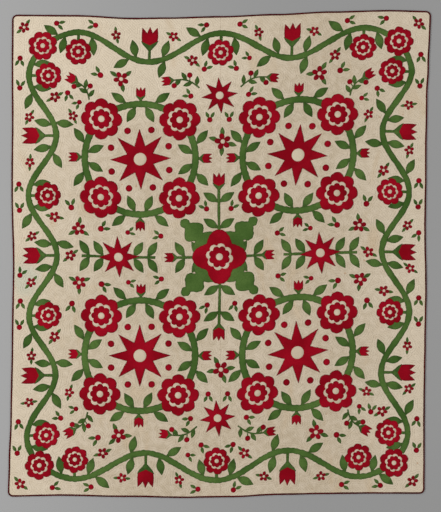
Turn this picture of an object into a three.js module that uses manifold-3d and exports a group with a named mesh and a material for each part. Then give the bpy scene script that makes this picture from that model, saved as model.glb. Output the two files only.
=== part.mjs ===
// A hand-quilted appliqué bed quilt, laid out flat with its face up.
// Millimetres, +Z up, +Y towards the head of the quilt. The origin is under the middle of the quilt.
// The quilted body is one solid. The binding, the vines, the wreaths and the flowers are cloth sewn on to it.
import * as THREE from "three";
import { mergeVertices } from "three/addons/utils/BufferGeometryUtils.js";
import Module from "manifold-3d";

const wasm = await Module();
wasm.setup();

// Size of the whole quilt, before its edges wander.
const QUILT_WIDTH = 2130;
const QUILT_LENGTH = 2465;
const CORNER_RADIUS = 26;
const EDGE_STATIONS_ACROSS = 17;
const EDGE_STATIONS_ALONG = 20;
const CORNER_STEPS = 3;

// Heights above the surface that the quilt lies on.
const CROWN_HEIGHT = 4.4;
const GROOVE_HEIGHT = 2.8;
const CLOTH_GAP = 0.3;
const PATCH_THICK = 1.0;
const layerBottom = (layer) => CROWN_HEIGHT + CLOTH_GAP + (layer - 1) * (PATCH_THICK + CLOTH_GAP);

// Quilting: one ridge in the solid stands for QUILTING_LINES_A_RIDGE stitched lines.
const QUILTING_PITCH = 10;
const QUILTING_LINES_A_RIDGE = 10;
const RELIEF_CELL = (QUILTING_PITCH * QUILTING_LINES_A_RIDGE) / Math.SQRT2;
const RELIEF_MARGIN = 38;

// Binding: a strip folded over the edge, and the edge of the body that it takes in.
const BINDING_WIDTH = 8;
const BINDING_THICK = 4.4;
const BINDING_CLOTH = 1.0;
const BINDING_FOLD = 1.5;
const TONGUE_LOW = BINDING_CLOTH + CLOTH_GAP;
const TONGUE_HIGH = BINDING_THICK - BINDING_CLOTH - CLOTH_GAP;
const JOINT_GAP = 0.3;

// How far each edge lies outside its straight line, along its length from 0 to 1.
const EDGE_DRIFT = {
  left: [
    { along: 0.0, out: 18 },
    { along: 0.07, out: 14 },
    { along: 0.16, out: 5 },
    { along: 0.32, out: -2 },
    { along: 0.48, out: -8 },
    { along: 0.64, out: 0 },
    { along: 0.78, out: -3 },
    { along: 0.9, out: -2 },
    { along: 1.0, out: -4 },
  ],
  right: [
    { along: 0.0, out: -14 },
    { along: 0.18, out: -13 },
    { along: 0.32, out: -8 },
    { along: 0.43, out: -3 },
    { along: 0.53, out: -8 },
    { along: 0.7, out: -4 },
    { along: 0.82, out: 0 },
    { along: 0.88, out: 8 },
    { along: 1.0, out: 19 },
  ],
  bottom: [
    { along: 0.0, out: 3 },
    { along: 0.12, out: -2 },
    { along: 0.28, out: 4 },
    { along: 0.42, out: 9 },
    { along: 0.53, out: 6 },
    { along: 0.65, out: -6 },
    { along: 0.77, out: -11 },
    { along: 0.9, out: -13 },
    { along: 1.0, out: -12 },
  ],
  top: [
    { along: 0.0, out: 0 },
    { along: 0.15, out: -2 },
    { along: 0.29, out: -16 },
    { along: 0.37, out: -14 },
    { along: 0.5, out: -7 },
    { along: 0.63, out: 4 },
    { along: 0.76, out: 17 },
    { along: 0.9, out: 24 },
    { along: 1.0, out: 19 },
  ],
};

// Border vines.
const VINE_INSET = 158;
const VINE_SWING = 70;
const VINE_WIDTH = 30;
const VINE_STEPS_A_WAVE = 6;
const VINE_END = 0.025;
const STEM_WIDTH = 14;
const HALF_WAVES = { across: 5, along: 7 };
const LEAF_LENGTH = 90;
const LEAF_WIDTH = 42;
const LEAF_SPLAY = 1.0;
const SPROUT_ROOT = 2;
const SPROUT_ROOM = 20;
const VINE_BUD = 115;

// Wreaths.
const WREATH_ACROSS = 405;
const WREATH_ALONG = 505;
const RING_RADIUS = 284;
const RING_WIDTH = 34;
const RING_STEPS = 36;
const RING_LEAF_SPLAY = 0.62;
const RING_STEM = 26;
const RING_BUD = 62;
const WREATH_STAR_RADIUS = 158;

// Flowers, stars and the middle of the quilt.
const ROSE_LOBES = 8;
const ROSE_STEPS_A_LOBE = 3;
const ROSE_DEPTH = 0.17;
const BORDER_ROSE_RADIUS = 69;
const BORDER_ROSE_LIFT = 0.42 * VINE_SWING;
const CORNER_ROSE_RADIUS = 76;
const WREATH_ROSE_RADIUS = 106;
const STAR_POINTS = 8;
const STAR_WAIST = 0.46;
const SIDE_STAR_RADIUS = 108;
const SIDE_STAR_ACROSS = 520;
const SIDE_SPRIG_REACH = 190;
const END_STAR_RADIUS = 96;
const END_STAR_ALONG = 826;
const REEL_RADIUS = 140;
const OAK_REACH = 274;
const OAK_WIDTH = 136;
const MIDDLE_STEM_REACH = { across: 225, along: 352 };
const MIDDLE_BUD = { across: 66, along: 84 };

const RED = 0x8c0a1c;
const DARK_RED = 0x5e1216;
const GREEN = 0x42632c;
const CREAM = 0xcbb898;

const cloth = (colour) => new THREE.MeshStandardMaterial({ color: colour, roughness: 0.9, metalness: 0 });

const quilt = new THREE.Group();

// A smooth curve through a table's rows.
function drift(table, along) {
  const t = Math.min(Math.max(along, 0), 1);
  let row = 0;
  while (row < table.length - 2 && t > table[row + 1].along) row += 1;
  const from = table[row];
  const to = table[row + 1];
  const share = (t - from.along) / (to.along - from.along);
  const eased = share * share * (3 - 2 * share);
  return from.out + (to.out - from.out) * eased;
}

// The cloth's own unevenness: a point of the straight rectangle goes to its place in the uneven one.
function settle([x, y]) {
  const across = x / QUILT_WIDTH + 0.5;
  const along = y / QUILT_LENGTH + 0.5;
  const left = -drift(EDGE_DRIFT.left, along);
  const right = drift(EDGE_DRIFT.right, along);
  const bottom = -drift(EDGE_DRIFT.bottom, across);
  const top = drift(EDGE_DRIFT.top, across);
  return [x + left + (right - left) * across, y + bottom + (top - bottom) * along];
}

// The quilt's straight rectangle with round corners, that far inside the edge: one list of points for
// each side, from the middle of one corner to the middle of the next, anticlockwise from the bottom.
function straightSides(inset) {
  const halfWidth = QUILT_WIDTH / 2;
  const halfLength = QUILT_LENGTH / 2;
  const radius = CORNER_RADIUS - inset;
  const centreX = halfWidth - CORNER_RADIUS;
  const centreY = halfLength - CORNER_RADIUS;
  const sides = [
    { name: "bottom", turn: 0, run: centreX, rise: centreY, stations: EDGE_STATIONS_ACROSS },
    { name: "right", turn: 1, run: centreY, rise: centreX, stations: EDGE_STATIONS_ALONG },
    { name: "top", turn: 2, run: centreX, rise: centreY, stations: EDGE_STATIONS_ACROSS },
    { name: "left", turn: 3, run: centreY, rise: centreX, stations: EDGE_STATIONS_ALONG },
  ];
  return sides.map(({ name, turn, run, rise, stations }) => {
    const points = [];
    for (let step = 0; step <= CORNER_STEPS; step += 1) {
      const angle = -(3 * Math.PI) / 4 + (step / CORNER_STEPS) * (Math.PI / 4);
      points.push([-run + radius * Math.cos(angle), -rise + radius * Math.sin(angle)]);
    }
    for (let step = 1; step < stations; step += 1) {
      points.push([-run + (2 * run * step) / stations, -rise - radius]);
    }
    for (let step = 0; step <= CORNER_STEPS; step += 1) {
      const angle = -Math.PI / 2 + (step / CORNER_STEPS) * (Math.PI / 4);
      points.push([run + radius * Math.cos(angle), -rise + radius * Math.sin(angle)]);
    }
    return { name, points: points.map((point) => turned(point, turn * (Math.PI / 2))) };
  });
}

function turned([x, y], angle) {
  const cos = Math.cos(angle);
  const sin = Math.sin(angle);
  return [x * cos - y * sin, x * sin + y * cos];
}

// The middle of the uneven outline, which goes to the origin.
const outlinePoints = straightSides(0).flatMap((side) => side.points.map(settle));
const middle = [0, 1].map((axis) => {
  const values = outlinePoints.map((point) => point[axis]);
  return (Math.min(...values) + Math.max(...values)) / 2;
});

// A point of the straight rectangle, in the quilt's own frame.
function place(point) {
  const [x, y] = settle(point);
  return [x - middle[0], y - middle[1]];
}

function geometryOf(vertices, triangles) {
  return new THREE.BufferGeometry()
    .setAttribute("position", new THREE.BufferAttribute(new Float32Array(vertices.flat()), 3))
    .setIndex(triangles.flat());
}

function add(name, geometry, colour) {
  const mesh = new THREE.Mesh(geometry, cloth(colour));
  mesh.name = name;
  quilt.add(mesh);
}

// One closed loop round the body, as indices of new vertices.
function bodyLoop(vertices, inset, height) {
  const loop = [];
  for (const side of straightSides(inset)) {
    for (const point of side.points.slice(0, -1)) {
      loop.push(vertices.length);
      vertices.push([...place(point), height]);
    }
  }
  return loop;
}

function band(triangles, from, to) {
  from.forEach((a, i) => {
    const next = (i + 1) % from.length;
    triangles.push([a, from[next], to[next]], [a, to[next], to[i]]);
  });
}

// Triangles between two loops of different counts, matched by their share of the way round.
function zip(triangles, outer, inner) {
  let i = 0;
  let j = 0;
  while (i < outer.length || j < inner.length) {
    const outerNext = (i + 1) / outer.length;
    const innerNext = (j + 1) / inner.length;
    const a = outer[i % outer.length];
    const b = inner[j % inner.length];
    if (i < outer.length && (outerNext <= innerNext || j >= inner.length)) {
      triangles.push([a, outer[(i + 1) % outer.length], b]);
      i += 1;
    } else {
      triangles.push([a, inner[(j + 1) % inner.length], b]);
      j += 1;
    }
  }
}

// The quilted body: ridges run down to the right, and the edge thins to a tongue inside the binding.
function quiltedBody() {
  const vertices = [];
  const triangles = [];
  const spanX = QUILT_WIDTH - 2 * RELIEF_MARGIN;
  const spanY = QUILT_LENGTH - 2 * RELIEF_MARGIN;
  const columns = Math.round(spanX / RELIEF_CELL);
  const rows = Math.round(spanY / RELIEF_CELL);
  const at = (column, row) => row * (columns + 1) + column;
  for (let row = 0; row <= rows; row += 1) {
    for (let column = 0; column <= columns; column += 1) {
      const straight = [(column / columns - 0.5) * spanX, (row / rows - 0.5) * spanY];
      const height = (row + column) % 2 === 0 ? GROOVE_HEIGHT : CROWN_HEIGHT;
      vertices.push([...place(straight), height]);
    }
  }
  for (let row = 0; row < rows; row += 1) {
    for (let column = 0; column < columns; column += 1) {
      const [a, b] = [at(column, row), at(column + 1, row)];
      const [c, d] = [at(column + 1, row + 1), at(column, row + 1)];
      triangles.push([a, b, d], [b, c, d]);
    }
  }
  // The relief's outer ring of vertices, anticlockwise from its bottom left corner.
  const ring = [];
  for (let column = 0; column < columns; column += 1) ring.push(at(column, 0));
  for (let row = 0; row < rows; row += 1) ring.push(at(columns, row));
  for (let column = columns; column > 0; column -= 1) ring.push(at(column, rows));
  for (let row = rows; row > 0; row -= 1) ring.push(at(0, row));
  const lip = BINDING_WIDTH + CLOTH_GAP;
  const tongue = BINDING_FOLD + CLOTH_GAP;
  const loops = [
    bodyLoop(vertices, lip, 0),
    bodyLoop(vertices, lip, TONGUE_LOW),
    bodyLoop(vertices, tongue, TONGUE_LOW),
    bodyLoop(vertices, tongue, TONGUE_HIGH),
    bodyLoop(vertices, lip + CLOTH_GAP, TONGUE_HIGH),
  ];
  for (let i = 1; i < loops.length; i += 1) band(triangles, loops[i - 1], loops[i]);
  zip(triangles, loops[loops.length - 1], ring);
  const bottom = loops[0];
  const flat = bottom.map((index) => new THREE.Vector2(vertices[index][0], vertices[index][1]));
  for (const [a, b, c] of THREE.ShapeUtils.triangulateShape(flat, [])) {
    triangles.push([bottom[a], bottom[c], bottom[b]]);
  }
  return geometryOf(vertices, triangles);
}

// A binding strip's section, as distance in from the quilt's edge and height, clockwise seen along the strip.
const BINDING_SECTION = [
  { inset: BINDING_WIDTH, height: BINDING_THICK - BINDING_CLOTH },
  { inset: BINDING_WIDTH, height: BINDING_THICK },
  { inset: BINDING_FOLD, height: BINDING_THICK },
  { inset: 0, height: BINDING_THICK * 0.65 },
  { inset: 0, height: BINDING_THICK * 0.35 },
  { inset: BINDING_FOLD, height: 0 },
  { inset: BINDING_WIDTH, height: 0 },
  { inset: BINDING_WIDTH, height: BINDING_CLOTH },
  { inset: BINDING_FOLD, height: BINDING_CLOTH },
  { inset: BINDING_FOLD, height: BINDING_THICK - BINDING_CLOTH },
];

// One strip of binding. Its two ends stop short of the middle of the corners.
function bindingStrip(sideIndex) {
  const vertices = [];
  const triangles = [];
  const lines = BINDING_SECTION.map(({ inset }) => {
    const points = straightSides(inset)[sideIndex].points;
    return points.map((point, i) => {
      const atEnd = i === 0 || i === points.length - 1;
      if (!atEnd) return place(point);
      const next = points[i === 0 ? 1 : i - 1];
      const length = Math.hypot(next[0] - point[0], next[1] - point[1]);
      const share = JOINT_GAP / 2 / length;
      return place([point[0] + (next[0] - point[0]) * share, point[1] + (next[1] - point[1]) * share]);
    });
  });
  const stations = lines[0].length;
  const corners = BINDING_SECTION.length;
  for (let station = 0; station < stations; station += 1) {
    BINDING_SECTION.forEach(({ height }, corner) => vertices.push([...lines[corner][station], height]));
  }
  for (let station = 0; station < stations - 1; station += 1) {
    for (let corner = 0; corner < corners; corner += 1) {
      const next = (corner + 1) % corners;
      const [a, b] = [station * corners + corner, station * corners + next];
      const [c, d] = [(station + 1) * corners + next, (station + 1) * corners + corner];
      triangles.push([a, b, c], [a, c, d]);
    }
  }
  const section = BINDING_SECTION.map(({ inset, height }) => new THREE.Vector2(inset, height));
  const last = (stations - 1) * corners;
  for (const [a, b, c] of THREE.ShapeUtils.triangulateShape(section, [])) {
    triangles.push([a, c, b], [last + a, last + b, last + c]);
  }
  return geometryOf(vertices, triangles);
}

// A small, repeatable unevenness from -1 to 1, so that no two hand-cut patches are alike.
function uneven(seed) {
  const value = Math.sin(seed * 12.9898) * 43758.5453;
  return (value - Math.floor(value)) * 2 - 1;
}

// An outline moved to its place: turned by angle, about its own origin, then shifted.
function moved(outline, [x, y], angle) {
  return outline.map((point) => {
    const [px, py] = turned(point, angle);
    return [px + x, py + y];
  });
}

function roseOutline(radius, seed) {
  const steps = ROSE_LOBES * ROSE_STEPS_A_LOBE;
  const outline = [];
  for (let step = 0; step < steps; step += 1) {
    const angle = (2 * Math.PI * (step + 0.5)) / steps;
    const lobe = Math.abs(Math.cos((ROSE_LOBES * angle) / 2)) ** 0.7;
    const cut = 1 + 0.03 * uneven(seed + Math.floor(step / ROSE_STEPS_A_LOBE));
    const reach = radius * cut * (1 - ROSE_DEPTH + ROSE_DEPTH * lobe);
    outline.push([reach * Math.cos(angle), reach * Math.sin(angle)]);
  }
  return outline;
}

function starOutline(radius, seed) {
  const outline = [];
  for (let step = 0; step < 2 * STAR_POINTS; step += 1) {
    const angle = (Math.PI * step) / STAR_POINTS;
    const cut = 1 + 0.03 * uneven(seed + step);
    const reach = step % 2 === 0 ? radius * cut : radius * STAR_WAIST;
    outline.push([reach * Math.cos(angle), reach * Math.sin(angle)]);
  }
  return outline;
}

// A pointed leaf that starts at its stalk and grows along +X, bent a little to one side.
function leafOutline(length, width, seed) {
  const stations = [0.3, 0.7];
  const bend = 0.04 * length * uneven(seed);
  const half = (share) => 0.5 * width * Math.sin(Math.PI * share ** 0.9);
  const spine = (share) => bend * Math.sin(Math.PI * share);
  const outline = [[0, -0.08 * width]];
  for (const share of stations) outline.push([share * length, spine(share) - half(share)]);
  outline.push([length, 0]);
  for (const share of [...stations].reverse()) outline.push([share * length, spine(share) + half(share)]);
  outline.push([0, 0.08 * width]);
  return outline;
}

// An oak leaf that grows along +X, with three round lobes a side.
function oakOutline(length, width) {
  const steps = 18;
  const half = (share) => {
    const body = Math.sin(Math.PI * share ** 0.8) ** 0.55;
    const lobe = Math.abs(Math.sin(Math.PI * 3.5 * share ** 0.9)) ** 0.8;
    return 0.5 * width * body * (0.42 + 0.58 * lobe);
  };
  const outline = [[0, -0.07 * width]];
  for (let step = 1; step < steps; step += 1) outline.push([(step / steps) * length, -half(step / steps)]);
  outline.push([length, 0]);
  for (let step = steps - 1; step > 0; step -= 1) outline.push([(step / steps) * length, half(step / steps)]);
  outline.push([0, 0.07 * width]);
  return outline;
}

// The reel in the middle: four broad ends and four hollow sides.
function reelOutline(radius) {
  const steps = 32;
  const outline = [];
  for (let step = 0; step < steps; step += 1) {
    const angle = (2 * Math.PI * step) / steps;
    const reach = radius * (0.68 + 0.32 * Math.abs(Math.cos(2 * angle)) ** 1.4);
    outline.push([reach * Math.cos(angle), reach * Math.sin(angle)]);
  }
  return outline;
}

// A stem that grows along +X from its foot at the origin, with a tulip bud that long on its end.
function stemOutline(length, bud = 0) {
  const half = STEM_WIDTH / 2;
  const lower = [[0, -half], [length, -half]];
  if (bud > 0) lower.push([length + 0.38 * bud, -0.36 * bud], [length + bud, -0.32 * bud]);
  const upper = lower.map(([x, y]) => [x, -y]).reverse();
  return [...lower, ...upper];
}

// Something that grows out of a strip's edge: its place along the strip, the room that its foot takes
// there, and its outline in place.
function sprout(outline, foot, angle, along, room) {
  return { along, room, points: moved(outline, foot, angle) };
}

// One long edge of a strip with its sprouts. Way is 1 where it is walked forwards, -1 backwards.
function sproutingEdge(stations, edgeAt, sprouts, way) {
  const clear = (along) => sprouts.every((one) => Math.abs(along - one.along) > one.room);
  const plain = stations.filter(clear).map((along) => ({ along, points: [edgeAt(along)] }));
  return [...plain, ...sprouts].sort((a, b) => way * (a.along - b.along)).flatMap(({ points }) => points);
}

// A flat piece of cloth in its layer: its outline raised to a cloth's thickness, with a hole if one is given.
function patch(outline, layer, hole) {
  const flat = (points) => points.map(place).map(([x, y]) => new THREE.Vector2(x, y));
  const shape = new THREE.Shape(flat(outline));
  if (hole) shape.holes.push(new THREE.Path(flat(hole)));
  const geometry = new THREE.ExtrudeGeometry(shape, { depth: PATCH_THICK, bevelEnabled: false });
  return geometry.translate(0, 0, layerBottom(layer));
}

// Several outlines cut as one piece of cloth.
function joinedPatch(outlines, layer) {
  const solids = outlines.map((outline) => {
    const geometry = patch(outline, layer);
    geometry.deleteAttribute("normal");
    geometry.deleteAttribute("uv");
    const closed = mergeVertices(geometry);
    const vertProperties = new Float32Array(closed.attributes.position.array);
    const triVerts = new Uint32Array(closed.index.array);
    return new wasm.Manifold(new wasm.Mesh({ numProp: 3, vertProperties, triVerts }));
  });
  const mesh = solids.reduce((all, solid) => all.add(solid)).getMesh();
  return new THREE.BufferGeometry()
    .setAttribute("position", new THREE.BufferAttribute(mesh.vertProperties, 3))
    .setIndex(new THREE.BufferAttribute(mesh.triVerts, 1));
}

// The four borders. A vine's own line runs along +X, with the quilt's edge on its -Y side. It bulges
// towards the edge first, and its two ends stop under the corner roses.
const BORDERS = [
  { name: "bottom", turn: 0, length: QUILT_WIDTH, depth: QUILT_LENGTH, waves: HALF_WAVES.across },
  { name: "right", turn: 1, length: QUILT_LENGTH, depth: QUILT_WIDTH, waves: HALF_WAVES.along },
  { name: "top", turn: 2, length: QUILT_WIDTH, depth: QUILT_LENGTH, waves: HALF_WAVES.across },
  { name: "left", turn: 3, length: QUILT_LENGTH, depth: QUILT_WIDTH, waves: HALF_WAVES.along },
];

// Leaves on a half wave that bulges towards the quilt's edge and on one that bulges away from it: how far
// along the half wave, on the bulge's side or in its hollow, and pointing forwards along the vine or back.
const LEAVES_OUTWARD = [
  { share: 0.3, side: -1, way: -1 },
  { share: 0.7, side: -1, way: 1 },
  { share: 0.78, side: 1, way: 1 },
];
const LEAVES_INWARD = [{ share: 0.3, side: 1, way: 1 }, ...LEAVES_OUTWARD];

function borderVine({ turn, length, depth, waves }, seed) {
  const run = length - 2 * VINE_INSET;
  const baseline = -(depth / 2 - VINE_INSET);
  const line = (share) => [(share - 0.5) * run, baseline - VINE_SWING * Math.sin(Math.PI * waves * share)];
  const heading = (share) => {
    return Math.atan((-VINE_SWING * Math.PI * waves * Math.cos(Math.PI * waves * share)) / run);
  };
  // A point that far to the left of the vine's own line.
  const beside = (share, left) => {
    const [x, y] = line(share);
    return [x - left * Math.sin(heading(share)), y + left * Math.cos(heading(share))];
  };
  const room = SPROUT_ROOM / run;
  const sprouts = { left: [], right: [] };
  const grow = (side, outline, along, angle) => {
    const foot = beside(along, side * (VINE_WIDTH / 2 - SPROUT_ROOT));
    sprouts[side > 0 ? "left" : "right"].push(sprout(outline, foot, angle, along, room));
  };
  for (let half = 0; half < waves; half += 1) {
    const upward = half % 2 === 0 ? -1 : 1;
    const stem = stemOutline(VINE_SWING - VINE_WIDTH / 2 + SPROUT_ROOT, upward > 0 ? VINE_BUD : 0);
    grow(-upward, stem, (half + 0.5) / waves, (-upward * Math.PI) / 2);
    (upward > 0 ? LEAVES_INWARD : LEAVES_OUTWARD).forEach(({ share, side, way }, leaf) => {
      const along = (half + share) / waves;
      if (Math.abs(along - 0.5) > 0.5 - 1.5 * VINE_END) return;
      const splay = LEAF_SPLAY + 0.1 * uneven(seed + half * 7 + leaf);
      const lean = side * upward * (way > 0 ? splay : Math.PI - splay);
      const outline = leafOutline(LEAF_LENGTH, LEAF_WIDTH, seed + half * 7 + leaf);
      grow(side * upward, outline, along, heading(along) + lean);
    });
  }
  const steps = waves * VINE_STEPS_A_WAVE;
  const stations = Array.from({ length: steps + 1 }, (_, step) => {
    return VINE_END + ((1 - 2 * VINE_END) * step) / steps;
  });
  const outline = [
    ...sproutingEdge(stations, (share) => beside(share, -VINE_WIDTH / 2), sprouts.right, 1),
    ...sproutingEdge(stations, (share) => beside(share, VINE_WIDTH / 2), sprouts.left, -1),
  ];
  return patch(outline.map((point) => turned(point, turn * (Math.PI / 2))), 1);
}

// Border roses sit in the hollows on the quilt's inner side of the vine.
function borderRoses({ name, turn, length, depth, waves }, seed) {
  const run = length - 2 * VINE_INSET;
  const baseline = -(depth / 2 - VINE_INSET);
  for (let half = 0; half < waves; half += 2) {
    const x = ((half + 0.5) / waves - 0.5) * run;
    const centre = turned([x, baseline + BORDER_ROSE_LIFT], turn * (Math.PI / 2));
    const outline = roseOutline(BORDER_ROSE_RADIUS, seed + half);
    const number = half / 2 + 1;
    add(`rose_${name}_${number}`, patch(moved(outline, centre, uneven(seed + half)), 2), RED);
  }
}

// Leaves on a wreath's ring: the angle within each quarter, and outside or inside.
const RING_LEAVES = [
  { angle: 0.1, side: -1 },
  { angle: 0.26, side: 1 },
  { angle: Math.PI / 2 - 0.26, side: 1 },
  { angle: Math.PI / 2 - 0.1, side: -1 },
];

function wreathRing([x, y], seed) {
  const onRing = (radius, angle) => [x + radius * Math.cos(angle), y + radius * Math.sin(angle)];
  const half = RING_WIDTH / 2;
  const room = SPROUT_ROOM / RING_RADIUS;
  const sprouts = { outside: [], inside: [] };
  for (let quarter = 0; quarter < 4; quarter += 1) {
    const axis = quarter * (Math.PI / 2);
    const foot = onRing(RING_RADIUS + half - SPROUT_ROOT, axis);
    const stem = stemOutline(RING_STEM - half + SPROUT_ROOT, RING_BUD);
    sprouts.outside.push(sprout(stem, foot, axis, axis, room));
    RING_LEAVES.forEach(({ angle, side }, leaf) => {
      const where = axis + angle;
      const forward = angle < Math.PI / 4 ? -1 : 1;
      const splay = RING_LEAF_SPLAY + 0.12 * uneven(seed + quarter * 5 + leaf);
      const outward = side > 0 ? where : where + Math.PI;
      const outline = leafOutline(LEAF_LENGTH, LEAF_WIDTH, seed + quarter * 5 + leaf);
      const base = onRing(RING_RADIUS + side * (half - SPROUT_ROOT), where);
      const leafSprout = sprout(outline, base, outward - forward * side * splay, where, room);
      sprouts[side > 0 ? "outside" : "inside"].push(leafSprout);
    });
  }
  const stations = Array.from({ length: RING_STEPS }, (_, step) => (2 * Math.PI * (step + 0.5)) / RING_STEPS);
  const outer = sproutingEdge(stations, (angle) => onRing(RING_RADIUS + half, angle), sprouts.outside, 1);
  const inner = sproutingEdge(stations, (angle) => onRing(RING_RADIUS - half, angle), sprouts.inside, -1);
  return patch(outer, 1, inner);
}

// The four wreaths, anticlockwise from the bottom left.
const WREATHS = [
  { name: "lower_left", centre: [-WREATH_ACROSS, -WREATH_ALONG] },
  { name: "lower_right", centre: [WREATH_ACROSS, -WREATH_ALONG] },
  { name: "upper_right", centre: [WREATH_ACROSS, WREATH_ALONG] },
  { name: "upper_left", centre: [-WREATH_ACROSS, WREATH_ALONG] },
];

function wreath({ name, centre }, seed) {
  const star = moved(starOutline(WREATH_STAR_RADIUS, seed), centre, 0.1 * uneven(seed));
  add(`wreath_${name}`, wreathRing(centre, seed), GREEN);
  add(`star_${name}`, patch(star, 1), RED);
  for (let quarter = 0; quarter < 4; quarter += 1) {
    const angle = (quarter + 0.5) * (Math.PI / 2);
    const where = [centre[0] + RING_RADIUS * Math.cos(angle), centre[1] + RING_RADIUS * Math.sin(angle)];
    const rose = moved(roseOutline(WREATH_ROSE_RADIUS, seed + quarter * 9), where, angle);
    add(`rose_${name}_${quarter + 1}`, patch(rose, 2), RED);
  }
}

// Leaves on a sprig: how far out from its middle, and which side.
const SPRIG_LEAVES = [
  { share: 0.42, side: 1 },
  { share: 0.42, side: -1 },
  { share: 0.8, side: 1 },
  { share: 0.8, side: -1 },
];

// A level stem through its own middle, with pairs of leaves at both ends. It turns with angle.
function sprigOutline(reach, width, seed, angle) {
  const room = SPROUT_ROOM / reach;
  const sprouts = { left: [], right: [] };
  for (const way of [-1, 1]) {
    SPRIG_LEAVES.forEach(({ share, side }, leaf) => {
      const outline = leafOutline(LEAF_LENGTH, LEAF_WIDTH, seed + 10 * way + leaf);
      const foot = [way * share * reach, side * (width / 2 - SPROUT_ROOT)];
      const lean = way > 0 ? side * LEAF_SPLAY : side * (Math.PI - LEAF_SPLAY);
      sprouts[side > 0 ? "left" : "right"].push(sprout(outline, foot, lean, way * share, room));
    });
  }
  const edge = (left) => (share) => [share * reach, (left * width) / 2];
  return [
    ...sproutingEdge([-1, 1], edge(-1), sprouts.right, 1),
    ...sproutingEdge([-1, 1], edge(1), sprouts.left, -1),
  ].map((point) => turned(point, angle));
}

// The reel in the middle lies on four oak leaves and two crossing sprigs, all cut in one piece.
function middleMotif() {
  const leaves = [0.5, 1.5, 2.5, 3.5].map((quarter) => {
    return moved(oakOutline(OAK_REACH, OAK_WIDTH), [0, 0], quarter * (Math.PI / 2));
  });
  const heart = roseOutline(REEL_RADIUS * 0.4, 1);
  const level = sprigOutline(MIDDLE_STEM_REACH.across, STEM_WIDTH, 5, 0);
  const upright = sprigOutline(MIDDLE_STEM_REACH.along, STEM_WIDTH, 25, Math.PI / 2);
  const buds = [0, 1, 2, 3].map((quarter) => {
    const way = quarter % 2 === 0 ? "across" : "along";
    const angle = quarter * (Math.PI / 2);
    const foot = turned([MIDDLE_STEM_REACH[way] - SPROUT_ROOT, 0], angle);
    return moved(stemOutline(SPROUT_ROOT, MIDDLE_BUD[way]), foot, angle);
  });
  add("oak_leaves_middle", joinedPatch([heart, level, upright, ...buds, ...leaves], 1), GREEN);
  add("reel_middle", patch(reelOutline(REEL_RADIUS), 2), RED);
}

// To the left and right of the middle: a star on a level sprig.
function sideMotif(name, x, seed) {
  const sprig = moved(sprigOutline(SIDE_SPRIG_REACH, STEM_WIDTH, seed, 0), [x, 0], 0);
  add(`sprig_${name}`, patch(sprig, 1), GREEN);
  add(`star_${name}`, patch(moved(starOutline(SIDE_STAR_RADIUS, seed), [x, 0], 0.05), 2), RED);
}

add("quilted_body", quiltedBody(), CREAM);
["bottom", "right", "top", "left"].forEach((name, side) => {
  add(`binding_${name}`, bindingStrip(side), DARK_RED);
});
BORDERS.forEach((border, i) => {
  add(`vine_${border.name}`, borderVine(border, 11 + 40 * i), GREEN);
  borderRoses(border, 5 + 30 * i);
});
[[-1, -1], [1, -1], [1, 1], [-1, 1]].forEach(([signX, signY], i) => {
  const centre = [signX * (QUILT_WIDTH / 2 - VINE_INSET), signY * (QUILT_LENGTH / 2 - VINE_INSET)];
  const rose = moved(roseOutline(CORNER_ROSE_RADIUS, 70 + i), centre, 0.4 * i);
  add(`rose_corner_${i + 1}`, patch(rose, 2), RED);
});
WREATHS.forEach((one, i) => wreath(one, 200 + 50 * i));
middleMotif();
sideMotif("side_left", -SIDE_STAR_ACROSS, 90);
sideMotif("side_right", SIDE_STAR_ACROSS, 130);
for (const [name, sign] of [["end_bottom", -1], ["end_top", 1]]) {
  const star = moved(starOutline(END_STAR_RADIUS, 60 + sign), [0, sign * END_STAR_ALONG], 0.1);
  add(`star_${name}`, patch(star, 1), RED);
}

export default quilt;
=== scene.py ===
"""A hand-quilted appliqué bed quilt, laid out flat: ground, binding, and all that is sewn on to it."""
import math

import bpy
import numpy as np
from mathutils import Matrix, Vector, geometry
from mathutils.bvhtree import BVHTree
from mathutils.kdtree import KDTree


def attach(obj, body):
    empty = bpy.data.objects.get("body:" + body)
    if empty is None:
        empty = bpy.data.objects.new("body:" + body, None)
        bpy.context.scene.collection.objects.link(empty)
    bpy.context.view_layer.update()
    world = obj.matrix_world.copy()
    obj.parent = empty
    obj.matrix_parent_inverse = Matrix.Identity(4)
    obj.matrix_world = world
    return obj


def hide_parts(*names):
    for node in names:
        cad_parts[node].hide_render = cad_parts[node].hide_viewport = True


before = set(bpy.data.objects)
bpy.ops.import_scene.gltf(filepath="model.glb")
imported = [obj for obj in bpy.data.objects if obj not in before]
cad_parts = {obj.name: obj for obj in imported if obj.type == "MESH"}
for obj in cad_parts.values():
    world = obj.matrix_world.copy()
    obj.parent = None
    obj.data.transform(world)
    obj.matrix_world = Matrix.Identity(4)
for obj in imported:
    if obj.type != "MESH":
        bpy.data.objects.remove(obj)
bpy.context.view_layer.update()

# Sizes of the quilt in millimetres, the same as its solids have.
QUILT_WIDTH = 2130
QUILT_LENGTH = 2465
CORNER_RADIUS = 26
EDGE_STATIONS = {"across": 17, "along": 20}
CORNER_STEPS = 3
EDGE_DRIFT = {
    "left": [
        (0, 18), (0.07, 14), (0.16, 5), (0.32, -2), (0.48, -8), (0.64, 0), (0.78, -3), (0.9, -2), (1, -4),
    ],
    "right": [
        (0, -14), (0.18, -13), (0.32, -8), (0.43, -3), (0.53, -8), (0.7, -4), (0.82, 0), (0.88, 8), (1, 19),
    ],
    "bottom": [
        (0, 3), (0.12, -2), (0.28, 4), (0.42, 9), (0.53, 6), (0.65, -6), (0.77, -11), (0.9, -13), (1, -12),
    ],
    "top": [
        (0, 0), (0.15, -2), (0.29, -16), (0.37, -14), (0.5, -7), (0.63, 4), (0.76, 17), (0.9, 24), (1, 19),
    ],
}
VINE_INSET = 158
VINE_SWING = 70
VINE_WIDTH = 30
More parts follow.
